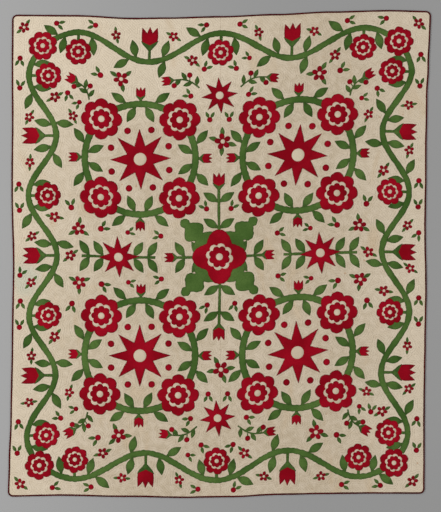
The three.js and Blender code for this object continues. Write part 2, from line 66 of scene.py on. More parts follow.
VINE_END = 0.025
VINE_BUD = 115
STEM_WIDTH = 14
LEAF_LENGTH = 90
LEAF_WIDTH = 42
LEAF_SPLAY = 1.0
SPROUT_ROOT = 2
WREATH_ACROSS = 405
WREATH_ALONG = 505
RING_RADIUS = 284
RING_WIDTH = 34
RING_LEAF_SPLAY = 0.62
RING_STEM = 26
RING_BUD = 62
WREATH_STAR_RADIUS = 158
ROSE_LOBES = 8
ROSE_DEPTH = 0.17
BORDER_ROSE_RADIUS = 69
BORDER_ROSE_LIFT = 0.42 * VINE_SWING
CORNER_ROSE_RADIUS = 76
WREATH_ROSE_RADIUS = 106
STAR_POINTS = 8
STAR_WAIST = 0.46
SIDE_STAR_RADIUS = 108
SIDE_STAR_ACROSS = 520
SIDE_SPRIG_REACH = 190
END_STAR_RADIUS = 96
END_STAR_ALONG = 826
REEL_RADIUS = 140
OAK_REACH = 274
OAK_WIDTH = 136
MIDDLE_STEM_REACH = {"across": 225, "along": 352}
MIDDLE_BUD = {"across": 66, "along": 84}

# Sizes of the small shapes that only this script has, in millimetres. Splays are angles.
TULIP_LENGTH = 84
TULIP_WIDTH = 62
FLORET_RADIUS = 36
FLORET_EYE_SHARE = 0.28
SMALL_LEAF_LENGTH = 44
SMALL_LEAF_WIDTH = 20
BERRY_RADIUS = 14
BERRY_CIRCLE = 160
BERRY_LEAF_SPLAY = 0.5
TWIG_WIDTH = 8
TWIG_BOW = 0.14
TWIG_LEAF_SPLAY = 0.8
TWIG_BERRY_SPLAY = 1.1
TWIG_BERRY_STEM = 24
TWIG_BERRY_REACH = 32
ROSE_RING_RADIUS = 62
ROSE_HEART_RADIUS = 50
ROSE_EYE_RADIUS = 17
STAR_EYE_RADIUS = 22

# How the small sprigs find their room: clear of other shapes and of the edge, and how far two can reach.
CLEARANCE = 7
SPRIG_MARGIN = 16
SPRIG_SPREAD = 165
SPRIG_SHIFTS = (0, 9, 18, 27)
SPRIG_LEANS = (0, 0.45, -0.45, 0.9, -0.9)

# Cloth and quilting, in millimetres. ECHO_REACH is a number of quilted rings.
GROUND_PITCH = 7.6
GROUND_HEIGHT = 3.9
RIDGE_HEIGHT = 0.55
QUILTING_PITCH = GROUND_PITCH * math.sqrt(2)
ECHO_REACH = 3.0
TONGUE_INSET = 1.8
LIP_INSET = 8.3
TONGUE_HIGH = 3.1
TONGUE_LOW = 1.3
OUTLINE_STEP = 5.0
FOLD = 1.6
FOLD_DEPTH = 0.5
SEAM_SINK = 0.35
SEAM_SINK_REACH = 3.0
RIM_RISE = 26
BACK_PITCH = 60
EDGE_STITCH_INSET = 0.8
BINDING_STATIONS = (320, 370)
BINDING_CORNER_STEPS = 12
BINDING_STEP = 6.6
BINDING_LAP = 0.15
BINDING_STITCH_INSET = 8.3
BINDING_STITCH_HEIGHT = 4.0

# Stitches in metres: how far apart, how slanted, and their length, width and half height.
BINDING_STITCH = {"pitch": 0.0085, "slant": 0.9, "size": (0.0022, 0.0006, 0.0003)}
EDGE_STITCH = {"pitch": 0.0065, "slant": 1.25, "size": (0.0018, 0.0005, 0.0002)}

# The lights and the camera, in metres. A light: name, place, size, power in watts.
LIGHTS = [
    ("upper_left_light", (-5.4, 3.4, 3.8), 2.0, 252),
    ("lower_left_light", (-5.4, -2.6, 3.8), 2.0, 208),
    ("right_light", (6.0, 0.2, 4.4), 2.6, 204),
]
ROOM_LIGHT = 0.41
FLOOR_REACH = 30
FLOOR_DEPTH = 0.0006
CAMERA_PLACE = (0.0054, -0.010, 7.283)
CAMERA_LENS = 100

# Heights of a patch's face over the ground cloth, in millimetres.
FACE = {"stem": 0.9, "vine": 1.3, "flower": 2.1, "ring": 2.6, "heart": 3.0, "eye": 3.4}


# The quilt's own flat shape.
def uneven(seed):
    """The same small unevenness from -1 to 1 that the solids have."""
    value = math.sin(seed * 12.9898) * 43758.5453
    return (value - math.floor(value)) * 2 - 1


def drift(edge, along):
    """How far an edge lies outside its straight line, as a smooth curve through its rows."""
    rows = np.array(EDGE_DRIFT[edge], float)
    t = np.clip(along, 0, 1)
    row = np.clip(np.searchsorted(rows[1:, 0], t, side="left"), 0, len(rows) - 2)
    share = (t - rows[row, 0]) / (rows[row + 1, 0] - rows[row, 0])
    eased = share * share * (3 - 2 * share)
    return rows[row, 1] + (rows[row + 1, 1] - rows[row, 1]) * eased


def settle(points):
    """From the straight rectangle to the uneven quilt, both in millimetres."""
    points = np.asarray(points, float)
    x, y = points[..., 0], points[..., 1]
    across, along = x / QUILT_WIDTH + 0.5, y / QUILT_LENGTH + 0.5
    left, right = -drift("left", along), drift("right", along)
    bottom, top = -drift("bottom", across), drift("top", across)
    return np.stack([x + left + (right - left) * across, y + bottom + (top - bottom) * along], -1)


def turned(points, angle):
    cos, sin = math.cos(angle), math.sin(angle)
    x, y = np.moveaxis(np.asarray(points, float), -1, 0)
    return np.stack([x * cos - y * sin, x * sin + y * cos], -1)


def moved(outline, centre, angle):
    return turned(outline, angle) + np.asarray(centre, float)


def straight_side(turn, inset, stations=None, corner_steps=CORNER_STEPS):
    """One side of the straight rectangle, from the middle of one corner to the middle of the next."""
    half = (QUILT_WIDTH / 2 - CORNER_RADIUS, QUILT_LENGTH / 2 - CORNER_RADIUS)
    run, rise = half if turn % 2 == 0 else half[::-1]
    stations = stations or EDGE_STATIONS["across" if turn % 2 == 0 else "along"]
    radius = CORNER_RADIUS - inset
    first = -0.75 * math.pi + np.linspace(0, math.pi / 4, corner_steps + 1)
    last = -0.5 * math.pi + np.linspace(0, math.pi / 4, corner_steps + 1)
    middle = np.linspace(-run, run, stations + 1)[1:-1]
    points = np.concatenate([
        np.stack([-run + radius * np.cos(first), -rise + radius * np.sin(first)], -1),
        np.stack([middle, np.full_like(middle, -rise - radius)], -1),
        np.stack([run + radius * np.cos(last), -rise + radius * np.sin(last)], -1),
    ])
    return turned(points, turn * math.pi / 2)


rim = settle(np.concatenate([straight_side(turn, 0) for turn in range(4)]))
RIM_MIDDLE = (rim.min(0) + rim.max(0)) / 2


def place(points):
    """From the straight rectangle in millimetres to the quilt's frame in metres."""
    return (settle(points) - RIM_MIDDLE) * 0.001


# Shapes that are cut from cloth.
def polar(reach, angle):
    return np.stack([reach * np.cos(angle), reach * np.sin(angle)], -1)


def full_turn(steps):
    return np.linspace(0, 2 * math.pi, steps, endpoint=False)


def pointed(share, half, length, width, foot):
    """A shape along +X, from a narrow foot to a point, with its half width at each share of its length."""
    below = np.stack([share * length, -half], -1)
    above = np.stack([share * length, half], -1)[::-1]
    return np.concatenate([[(foot, -0.07 * width)], below, [(length, 0)], above, [(foot, 0.07 * width)]])


def rose_outline(radius, seed, steps=14):
    angle = full_turn(ROSE_LOBES * steps)
    lobe = np.abs(np.cos(ROSE_LOBES * angle / 2)) ** 0.7
    by_hand = [uneven(seed + i % 8) for i in range(9)]
    cut = 1 + 0.02 * np.interp(angle, np.linspace(0, 2 * math.pi, 9), by_hand)
    return polar(radius * cut * (1 - ROSE_DEPTH + ROSE_DEPTH * lobe), angle)


def star_outline(radius, seed):
    outline = []
    for step in range(2 * STAR_POINTS):
        angle = math.pi * step / STAR_POINTS
        reach = radius * (1 + 0.03 * uneven(seed + step)) if step % 2 == 0 else radius * STAR_WAIST
        outline.append((reach * math.cos(angle), reach * math.sin(angle)))
    return np.array(outline)


def leaf_outline(length=LEAF_LENGTH, width=LEAF_WIDTH, steps=9):
    share = np.linspace(0, 1, steps + 1)[1:-1]
    return pointed(share, 0.5 * width * np.sin(math.pi * share ** 0.9), length, width, -4)


def oak_outline(length, width, steps=60):
    share = np.linspace(0, 1, steps + 1)[1:-1]
    body = np.sin(math.pi * share ** 0.8) ** 0.55
    lobe = np.abs(np.sin(math.pi * 3.5 * share ** 0.9)) ** 0.8
    return pointed(share, 0.5 * width * body * (0.42 + 0.58 * lobe), length, width, 0)


def reel_outline(radius, steps=128):
    angle = full_turn(steps)
    return polar(radius * (0.68 + 0.32 * np.abs(np.cos(2 * angle)) ** 1.4), angle)


def circle_outline(radius, steps):
    return polar(radius, full_turn(steps))


def floret_outline(radius=FLORET_RADIUS, petals=5, steps=70):
    angle = full_turn(steps)
    return polar(radius * (0.42 + 0.58 * np.abs(np.cos(petals * angle / 2)) ** 0.8), angle)


def tulip_outline(length=TULIP_LENGTH, width=TULIP_WIDTH):
    """A flower in three points that grows along +X."""
    half = [
        (0, 0.08), (0.12, 0.3), (0.3, 0.46), (0.52, 0.5),
        (0.74, 0.49), (0.96, 0.46), (0.84, 0.3), (0.72, 0.17),
    ]
    upper = [(share * length, side * width) for share, side in half]
    lower = [(x, -y) for x, y in upper]
    return np.array(lower + [(length, 0)] + upper[::-1])


def cup_outline():
    """The green cup that holds a tulip, open along +X."""
    half = [(-7, 5), (4, 14), (16, 25), (31, 33), (21, 13)]
    return np.array([(x, -y) for x, y in half] + [(15, 0)] + [(x, y) for x, y in half[::-1]])


def strip_outline(line, width, seed=0):
    """A strip along a line, its width a little uneven as hand-turned cloth is."""
    line = np.asarray(line, float)
    way = np.gradient(line, axis=0)
    way /= np.linalg.norm(way, axis=1)[:, None]
    side = np.stack([way[:, 1], -way[:, 0]], -1)
    run = np.concatenate([[0], np.cumsum(np.linalg.norm(np.diff(line, axis=0), axis=1))])
    swell = 1 + 0.05 * np.sin(run / 31 + seed) + 0.04 * np.sin(run / 13 + 2.3 * seed)
    half = 0.5 * width * swell[:, None] * side
    return np.concatenate([line + half, (line - half)[::-1]])


def stepped(outline, step=OUTLINE_STEP):
    """The outline with a point at least every step, its corners kept."""
    following = np.roll(outline, -1, axis=0)
    counts = np.maximum(1, np.ceil(np.linalg.norm(following - outline, axis=1) / step).astype(int))
    return np.concatenate([
        a + (b - a) * np.linspace(0, 1, n, endpoint=False)[:, None]
        for a, b, n in zip(outline, following, counts)
    ])


def gaps_to(points, loops):
    """Each point's distance to the nearest edge of the loops."""
    starts = np.concatenate(loops)
    ways = np.concatenate([np.roll(loop, -1, axis=0) for loop in loops]) - starts
    lengths = np.maximum((ways ** 2).sum(1), 1e-9)
    found = np.empty(len(points))
    for first in range(0, len(points), 800):
        some = points[first:first + 800, None] - starts[None]
        share = np.clip((some * ways).sum(2) / lengths, 0, 1)
        found[first:first + 800] = np.sqrt((((some - share[..., None] * ways) ** 2).sum(2)).min(1))
    return found


def inside(points, loops):
    """Which points lie within the first loop and outside the others."""
    found = np.zeros(len(points), bool)
    x, y = points[:, 0], points[:, 1]
    for loop in loops:
        for (ax, ay), (bx, by) in zip(loop, np.roll(loop, -1, axis=0)):
            if ay != by:
                found ^= ((ay > y) != (by > y)) & (x < (bx - ax) * (y - ay) / (by - ay) + ax)
    return found


def fold_height(gap, face):
    """Height of a turned edge at a distance in from it."""
    share = np.clip(gap / FOLD, 0, 1)
    return -FOLD_DEPTH + (face + FOLD_DEPTH) * np.sqrt(1 - (1 - share) ** 2)


def leftward(loop):
    """The direction to the left of a closed loop at each of its points."""
    way = np.roll(loop, -1, axis=0) - np.roll(loop, 1, axis=0)
    way /= np.linalg.norm(way, axis=1)[:, None] + 1e-9
    return np.stack([-way[:, 1], way[:, 0]], -1)


def signed_area(loop):
    following = np.roll(loop, -1, axis=0)
    return 0.5 * float((loop[:, 0] * following[:, 1] - loop[:, 1] * following[:, 0]).sum())


class Cut:
    """Cloth cut to loops: its points and triangles, their height, and hem, from 0 at the edge to 1."""

    def __init__(self, loops, face, grid=14.0, hand=1.5, seed=0):
        loops = [stepped(np.asarray(loop, float)) for loop in loops]
        if signed_area(loops[0]) < 0:
            loops[0] = loops[0][::-1]
        for i in range(1, len(loops)):
            if signed_area(loops[i]) > 0:
                loops[i] = loops[i][::-1]
        loops = [self.by_hand(loop, hand, seed + i) for i, loop in enumerate(loops)]
        self.loops, self.face = loops, face
        inner = []
        for depth in (0.5, FOLD):
            inner += [(loop + depth * leftward(loop), 0.75 * depth) for loop in loops]
        low, high = loops[0].min(0), loops[0].max(0)
        xs, ys = [np.arange(low[i] + grid / 2, high[i], grid) for i in (0, 1)]
        if len(xs) and len(ys):
            mesh = np.stack(np.meshgrid(xs, ys), -1).reshape(-1, 2)
            inner.append((mesh, 4.0))
        candidates = np.concatenate([points[gaps_to(points, loops) > least] for points, least in inner])
        candidates = candidates[inside(candidates, loops)]
        rim_count = sum(len(loop) for loop in loops)
        coords = [Vector(p) for p in np.concatenate(loops + [candidates])]
        edges, start = [], 0
        for loop in loops:
            edges += [(start + i, start + (i + 1) % len(loop)) for i in range(len(loop))]
            start += len(loop)
        self.points, self.faces = self.filled(coords, edges)
        gap = gaps_to(self.points, loops)
        gap[gap < 0.05] = 0
        self.height = fold_height(gap, face) + 0.3 * (1 - np.exp(-gap / 12))
        # The hem also says where the finishes paint shade along the turned edge.
        self.hem = np.clip(gap / 3.5, 0, 1)
        under_points, under_faces = self.filled(coords[:rim_count], edges)
        base = len(self.points)
        self.points = np.concatenate([self.points, under_points])
        self.height = np.concatenate([self.height, np.full(len(under_points), -FOLD_DEPTH)])
        self.hem = np.concatenate([self.hem, np.zeros(len(under_points))])
        self.faces += [tuple(base + i for i in face[::-1]) for face in under_faces]

    def filled(self, coords, edges):
        """Points, and the triangles between them that lie on the cloth, facing up."""
        found = geometry.delaunay_2d_cdt(coords, edges, [], 1, 1e-5)
        points = np.array([tuple(p) for p in found[0]])
        middles = points[np.array(found[2])].mean(1)
        kept = inside(middles, self.loops)
        return points, list(self.facing(points, [face for face, keep in zip(found[2], kept) if keep]))

    @staticmethod
    def by_hand(loop, hand, seed):
        """Small waves along the edge, as scissors and a needle leave them."""
        run = np.cumsum(np.linalg.norm(loop - np.roll(loop, 1, axis=0), axis=1))
        total = run[-1]
        wave = sum(
            math.sin(seed * 1.7 + k) * np.sin(2 * math.pi * k * run / total + seed * k)
            for k in (max(2, round(total / 90)), max(3, round(total / 47)), max(5, round(total / 26)))
        )
        return loop + hand * 0.55 * wave[:, None] * leftward(loop)

    @staticmethod
    def facing(points, faces):
        for face in faces:
            a, b, c = (points[i] for i in face[:3])
            up = (b[0] - a[0]) * (c[1] - a[1]) - (b[1] - a[1]) * (c[0] - a[0])
            yield tuple(face) if up > 0 else tuple(reversed(face))


# Small shapes that are sewn on many times, each cut once about its own origin. A rose's and a star's middle
# are cut for a flower of 100 mm radius.
small_cuts = {
    kind: Cut([outline], face, grid=grid, hand=hand)
    for kind, outline, face, grid, hand in (
        ("leaf", leaf_outline(), FACE["stem"], 22, 0.2),
        ("tulip", tulip_outline(), FACE["stem"] + 0.2, 20, 0.2),
        ("cup", cup_outline(), FACE["vine"] + 0.5, 20, 0.0),
        ("small_leaf", leaf_outline(SMALL_LEAF_LENGTH, SMALL_LEAF_WIDTH), FACE["stem"] - 0.2, 22, 0.1),
        ("berry", circle_outline(BERRY_RADIUS, 14), FACE["stem"] + 0.1, 20, 0.0),
        ("floret", floret_outline(), FACE["vine"], 20, 0.2),
        ("floret_eye", circle_outline(FLORET_EYE_SHARE * FLORET_RADIUS, 12), FACE["flower"] - 0.1, 20, 0.0),
        ("rose_ring", rose_outline(ROSE_RING_RADIUS, 3, steps=6), FACE["ring"], 24, 0.0),
        ("rose_heart", rose_outline(ROSE_HEART_RADIUS, 5, steps=6), FACE["heart"], 24, 0.0),
        ("rose_eye", circle_outline(ROSE_EYE_RADIUS, 16), FACE["eye"], 20, 0.0),
        ("star_eye", circle_outline(STAR_EYE_RADIUS, 18), FACE["ring"], 20, 0.0),
    )
}


def shape_loops(cut, spot):
    """A cut's edges at a spot, given as x, y, turn and size."""
    x, y, turn, size = spot
    return [moved(loop * size, (x, y), turn) for loop in cut.loops]


# Where everything is sewn.
BORDERS = [
    {"name": "bottom", "turn": 0, "length": QUILT_WIDTH, "depth": QUILT_LENGTH, "waves": 5},
    {"name": "right", "turn": 1, "length": QUILT_LENGTH, "depth": QUILT_WIDTH, "waves": 7},
    {"name": "top", "turn": 2, "length": QUILT_WIDTH, "depth": QUILT_LENGTH, "waves": 5},
    {"name": "left", "turn": 3, "length": QUILT_LENGTH, "depth": QUILT_WIDTH, "waves": 7},
]
# A half wave's leaves: how far along it, on its bulge or in its hollow, and pointing forwards or back.
LEAVES_OUTWARD = [(0.3, -1, -1), (0.7, -1, 1), (0.78, 1, 1)]
LEAVES_INWARD = [(0.3, 1, 1)] + LEAVES_OUTWARD
# Florets beside a vine: places along it from the half wave's start, out to its left, and size.
FLORET_BEHIND = (0.06, -(VINE_WIDTH / 2 + 46), 0.72)
FLORET_AHEAD = (1.07, -(VINE_WIDTH / 2 + 72), 0.72)
FLORET_WITHIN = (1, VINE_WIDTH / 2 + 62, 0.8)
RING_LEAVES = [(0.1, -1), (0.26, 1), (math.pi / 2 - 0.26, 1), (math.pi / 2 - 0.1, -1)]
SPRIG_LEAVES = [(0.42, 1), (0.42, -1), (0.8, 1), (0.8, -1)]
WREATHS = [
    ("lower_left", (-WREATH_ACROSS, -WREATH_ALONG)),
    ("lower_right", (WREATH_ACROSS, -WREATH_ALONG)),
    ("upper_right", (WREATH_ACROSS, WREATH_ALONG)),
    ("upper_left", (-WREATH_ACROSS, WREATH_ALONG)),
]
# Sprays in one quarter of the quilt, repeated in the others: foot x and y, way, reach, length of the tulip.
SPRAYS = [(105, 866, 0.30, 146, 62), (668, 800, 0.95, 112, 66)]
# A spray's leaves and its berries: how far along it, and on which hand.
SPRAY_LEAVES = [(0.12, 1), (0.3, -1), (0.52, 1), (0.72, -1)]
SPRAY_BERRIES = [(0.4, 1), (0.86, -1)]
# Florets in one quarter: x, y, way of the first leaf, size, number of leaves.
FLORETS = [
    (1003, 1168, -math.pi / 4, 0.8, 2), (506, 916, 0.9, 1.1, 3),
    (722, 138, -0.5, 1.0, 3), (764, 702, 1.2, 0.72, 2),
]
# Florets on the quilt's two middle lines: x, y, way of the first leaf, size, number of leaves.
MIDDLE_FLORETS = [
    (-768, 0, math.pi / 2, 0.8, 2), (768, 0, math.pi / 2, 0.8, 2),
    (0, -590, math.pi / 4, 1.2, 4), (0, 590, math.pi / 4, 1.2, 4),
]
# Berries with two leaves in one quarter: x, y, way between the leaves, size.
BERRIES = [
    (838, 1190, 3.0, 1.0), (640, 1184, 0.1, 1.0), (94, 1188, 0.0, 1.0), (1022, 1010, -1.5, 1.0),
    (1024, 858, 1.7, 1.0), (1026, 366, -1.6, 1.0), (1024, 232, 1.6, 1.0), (1028, 100, -1.6, 1.0),
    (82, 962, 1.9, 1.0), (148, 1012, 2.6, 0.9), (612, 930, 0.6, 1.1), (806, 834, -0.9, 1.0),
    (758, 246, 1.4, 1.1), (608, 142, 2.6, 1.1), (300, 110, 0.2, 1.0), (50, 702, 1.6, 1.0),
    (728, 786, 0.2, 0.9), (470, 128, 2.9, 0.9), (72, 246, 0.9, 1.0), (148, 826, 0.1, 1.0),
]

cut_pieces = {}   # a solid's name: its colour and the Cuts that stand for it
leaf_spots = {}   # a solid's name: where its leaves go, as x, y, turn, size
twig_cuts = []
SMALL_SHAPES = {
    "small_leaf": ("green", "sewn_small_leaves"),
    "tulip": ("red", "sewn_tulips"),
    "cup": ("green", "sewn_tulip_cups"),
    "berry": ("red", "sewn_berries"),
    "floret": ("red", "sewn_florets"),
    "floret_eye": ("cream", "sewn_floret_eyes"),
    "rose_ring": ("cream", "sewn_rose_rings"),
    "rose_heart": ("red", "sewn_rose_hearts"),
    "rose_eye": ("cream", "sewn_rose_eyes"),
    "star_eye": ("cream", "sewn_star_eyes"),
}
spots = {kind: [] for kind in SMALL_SHAPES}
wishes = []       # small flowers and berries, each as its shapes, the place asked for and the way it points


def add_rose(name, centre, radius, seed, turn):
    outline = moved(rose_outline(radius, seed), centre, turn)
    cut_pieces[name] = ("red", [Cut([outline], FACE["flower"], seed=seed)])
    add_rose_middle(centre, radius / 100, turn)


def add_rose_middle(centre, size, turn):
    spots["rose_ring"].append((*centre, turn + 0.2, size))
    spots["rose_heart"].append((*centre, turn, size))
    spots["rose_eye"].append((*centre, turn, size))


def add_star(name, centre, radius, seed, turn):
    outline = moved(star_outline(radius, seed), centre, turn)
    cut_pieces[name] = ("red", [Cut([outline], FACE["flower"], hand=0.7, seed=seed)])
    spots["star_eye"].append((*centre, turn, radius / 100))


def add_tulip(centre, turn, length):
    size = length / TULIP_LENGTH
    spots["tulip"].append((*centre, turn, size))
    spots["cup"].append((*centre, turn, size))


def add_floret(centre, way, size, leaves=2):
    """Asks for a small flower with leaves that point outwards from between its petals."""
    shapes = [("floret", 0, 0, -math.pi / 5, size), ("floret_eye", 0, 0, -math.pi / 5, size)]
    for leaf in range(leaves):
        lean = 2 * math.pi * leaf / leaves + 0.2 * uneven(centre[0] + leaf)
        foot = turned((0.55 * FLORET_RADIUS * size, 0), lean)
        shapes.append(("small_leaf", *foot, lean, size))
    wishes.append((shapes, centre, way))


def add_berry(centre, way, size):
    """Asks for a berry with two leaves."""
    shapes = [("berry", 0, 0, 0, size)]
    for lean in (-BERRY_LEAF_SPLAY, BERRY_LEAF_SPLAY):
        shapes.append(("small_leaf", *turned((0.7 * BERRY_RADIUS * size, 0), lean), lean, 0.85 * size))
    wishes.append((shapes, centre, way))


def stem_cut(foot, turn, length, seed, width=STEM_WIDTH):
    stem = [(length * share, 0) for share in np.linspace(0, 1, 8)]
    return Cut([moved(strip_outline(stem, width), foot, turn)], FACE["stem"], hand=0.5, seed=seed)


def sew_border(border, seed):
    run = border["length"] - 2 * VINE_INSET
    baseline = -(border["depth"] / 2 - VINE_INSET)
    waves, angle = border["waves"], border["turn"] * math.pi / 2

    def line(share):
        return np.stack([(share - 0.5) * run, baseline - VINE_SWING * np.sin(math.pi * waves * share)], -1)

    def heading(share):
        return math.atan(-VINE_SWING * math.pi * waves * math.cos(math.pi * waves * share) / run)

    def beside(share, left):
        return line(np.array(share)) + left * np.array([-math.sin(heading(share)), math.cos(heading(share))])

    def floret_beside(half, row, way):
        share, left, size = row
        add_floret(turned(beside((half + share) / waves, left), angle), way, size)

    vine = strip_outline(line(np.linspace(VINE_END, 1 - VINE_END, waves * 40 + 1)), VINE_WIDTH, seed)
    cuts = [Cut([moved(vine, (0, 0), angle)], FACE["vine"], seed=seed)]
    leaves = []
    for half in range(waves):
        upward = -1 if half % 2 == 0 else 1
        crest = line(np.array((half + 0.5) / waves))
        turn = angle - upward * math.pi / 2
        cuts.append(stem_cut(turned(crest, angle), turn, VINE_SWING + 6, half))
        if upward > 0:
            add_tulip(turned(crest - (0, VINE_SWING - 4), angle), turn, VINE_BUD)
        for leaf, (share, side, way) in enumerate(LEAVES_INWARD if upward > 0 else LEAVES_OUTWARD):
            along = (half + share) / waves
            if abs(along - 0.5) > 0.5 - 1.5 * VINE_END:
                continue
            number = seed + half * 7 + leaf
            splay = LEAF_SPLAY + 0.1 * uneven(number)
            lean = side * upward * (splay if way > 0 else math.pi - splay)
            foot = turned(beside(along, side * upward * (VINE_WIDTH / 2 - SPROUT_ROOT)), angle)
            leaves.append((*foot, angle + heading(along) + lean, 1 + 0.04 * uneven(number + 3)))
        if upward < 0 and half > 0:
            floret_beside(half, FLORET_BEHIND, half)
        if upward < 0 and half < waves - 1:
            floret_beside(half, FLORET_AHEAD, angle)
            floret_beside(half, FLORET_WITHIN, half + 0.5)
    cut_pieces["vine_" + border["name"]] = ("green", cuts)
    leaf_spots["vine_" + border["name"]] = leaves


def sew_border_roses(border, seed):
    run = border["length"] - 2 * VINE_INSET
    baseline = -(border["depth"] / 2 - VINE_INSET)
    for half in range(0, border["waves"], 2):
        x = ((half + 0.5) / border["waves"] - 0.5) * run
        centre = turned((x, baseline + BORDER_ROSE_LIFT), border["turn"] * math.pi / 2)
        name = f"rose_{border['name']}_{half // 2 + 1}"
        add_rose(name, centre, BORDER_ROSE_RADIUS, seed + half, uneven(seed + half))


def sew_wreath(name, centre, seed):
    half = RING_WIDTH / 2

    def on_ring(radius, angle):
        return polar(radius, angle) + np.array(centre, float)

    rings = [on_ring(RING_RADIUS + side * half, full_turn(240)) for side in (1, -1)]
    cuts = [Cut(rings, FACE["vine"], seed=seed)]
    leaves = []
    for quarter in range(4):
        axis = quarter * math.pi / 2
        for leaf, (angle, side) in enumerate(RING_LEAVES):
            where = axis + angle
            forward = -1 if angle < math.pi / 4 else 1
            splay = RING_LEAF_SPLAY + 0.12 * uneven(seed + quarter * 5 + leaf)
            outward = where if side > 0 else where + math.pi
            foot = on_ring(RING_RADIUS + side * (half - SPROUT_ROOT), where)
            leaves.append((*foot, outward - forward * side * splay, 1.0))
        cuts.append(stem_cut(on_ring(RING_RADIUS, axis), axis, RING_STEM + 6, quarter))
        add_tulip(on_ring(RING_RADIUS + RING_STEM - 4, axis), axis, RING_BUD + 4)
        angle = (quarter + 0.5) * math.pi / 2
        rose = f"rose_{name}_{quarter + 1}"
        add_rose(rose, on_ring(RING_RADIUS, angle), WREATH_ROSE_RADIUS, seed + quarter * 9, angle)
    cut_pieces["wreath_" + name] = ("green", cuts)
    leaf_spots["wreath_" + name] = leaves
    turn = 0.1 * uneven(seed)
    add_star("star_" + name, centre, WREATH_STAR_RADIUS, seed, turn)
    for step in range(STAR_POINTS):
        between_tips = turn + 2 * math.pi * (step + 0.5) / STAR_POINTS
        spots["berry"].append((*on_ring(BERRY_CIRCLE, between_tips), 0.0, 1.25))


def sprig(reach, centre, angle, seed):
    """A level stem with pairs of leaves at both ends: its cut and where its leaves go."""
    stem = [(share * reach, 0) for share in np.linspace(-1, 1, 60)]
    outline = moved(strip_outline(stem, STEM_WIDTH, seed), centre, angle)
    cut = Cut([outline], FACE["stem"], hand=0.7, seed=seed)
    leaves = []
    for way in (-1, 1):
        for share, side in SPRIG_LEAVES:
            foot = (way * share * reach, side * (STEM_WIDTH / 2 - SPROUT_ROOT))
            lean = side * LEAF_SPLAY if way > 0 else side * (math.pi - LEAF_SPLAY)
            leaves.append((*(turned(foot, angle) + np.asarray(centre)), angle + lean, 1.0))
    return cut, leaves


def sew_side(name, x, seed):
    cut, leaves = sprig(SIDE_SPRIG_REACH, (x, 0), 0, seed)
    cut_pieces["sprig_" + name] = ("green", [cut])
    leaf_spots["sprig_" + name] = leaves
    add_star("star_" + name, (x, 0), SIDE_STAR_RADIUS, seed, 0.05)


def sew_middle():
    oak = [moved(oak_outline(OAK_REACH, OAK_WIDTH), (0, 0), q * math.pi / 2) for q in (0.5, 1.5, 2.5, 3.5)]
    cuts = [Cut([leaf], FACE["stem"], seed=i) for i, leaf in enumerate(oak)]
    leaves = []
    for i, (way, angle) in enumerate((("across", 0), ("along", math.pi / 2))):
        cut, some = sprig(MIDDLE_STEM_REACH[way], (0, 0), angle, 5 + i)
        cuts.append(cut)
        leaves += some
        for turn in (angle, angle + math.pi):
            add_tulip(turned((MIDDLE_STEM_REACH[way] - 4, 0), turn), turn, MIDDLE_BUD[way])
    cut_pieces["oak_leaves_middle"] = ("green", cuts)
    leaf_spots["oak_leaves_middle"] = leaves
    cut_pieces["reel_middle"] = ("red", [Cut([reel_outline(REEL_RADIUS)], FACE["flower"], seed=2)])
    add_rose_middle((0.0, 0.0), 1.15, 0.4)


def sew_spray(foot, turn, reach, tulip, side, seed):
    """A twig that bows to one side, with leaves, two berries and a tulip on its end."""
    bow = TWIG_BOW * reach * side

    def along(share):
        return moved((reach * share, bow * math.sin(math.pi * share)), foot, turn)

    def heading(share):
        return turn + math.atan(bow * math.pi * math.cos(math.pi * share) / reach)

    twig = [along(share) for share in np.linspace(0, 1, 24)]
    twig_cuts.append(Cut([strip_outline(twig, TWIG_WIDTH, seed)], FACE["stem"], hand=0.5, seed=seed))
    add_tulip(along(0.98), heading(1), tulip)
    for i, (share, hand) in enumerate(SPRAY_LEAVES):
        lean = hand * side * (TWIG_LEAF_SPLAY + 0.15 * uneven(seed + i))
        spots["small_leaf"].append((*along(share), heading(share) + lean, 1.15))
    for share, hand in SPRAY_BERRIES:
        lean = heading(share) + hand * side * TWIG_BERRY_SPLAY
        twig_cuts.append(stem_cut(along(share), lean, TWIG_BERRY_STEM, seed, 0.6 * TWIG_WIDTH))
        spots["berry"].append((*(along(share) + turned((TWIG_BERRY_REACH, 0), lean)), 0.0, 1.0))


def mirrored(x, y, way, sign_x, sign_y):
    """A place and a direction of the first quarter, carried over to another."""
    return (sign_x * x, sign_y * y), math.atan2(sign_y * math.sin(way), sign_x * math.cos(way))


for i, border in enumerate(BORDERS):
    sew_border(border, 11 + 40 * i)
    sew_border_roses(border, 5 + 30 * i)
for i, (sign_x, sign_y) in enumerate([(-1, -1), (1, -1), (1, 1), (-1, 1)]):
    centre = (sign_x * (QUILT_WIDTH / 2 - VINE_INSET), sign_y * (QUILT_LENGTH / 2 - VINE_INSET))
    add_rose(f"rose_corner_{i + 1}", centre, CORNER_ROSE_RADIUS, 70 + i, 0.4 * i)
    for k, (*spot, reach, tulip) in enumerate(SPRAYS):
        sew_spray(*mirrored(*spot, sign_x, sign_y), reach, tulip, sign_x * sign_y, 10 * i + k)
    for *spot, size, leaves in FLORETS:
        add_floret(*mirrored(*spot, sign_x, sign_y), size, leaves)
    for *spot, size in BERRIES:
        add_berry(*mirrored(*spot, sign_x, sign_y), size)
for x, y, way, size, leaves in MIDDLE_FLORETS:
    add_floret((x, y), way, size, leaves)
for i, (name, centre) in enumerate(WREATHS):
    sew_wreath(name, centre, 200 + 50 * i)
sew_middle()
sew_side("side_left", -SIDE_STAR_ACROSS, 90)
sew_side("side_right", SIDE_STAR_ACROSS, 130)
add_star("star_end_bottom", (0, -END_STAR_ALONG), END_STAR_RADIUS, 59, 0.1)
add_star("star_end_top", (0, END_STAR_ALONG), END_STAR_RADIUS, 61, 0.1)


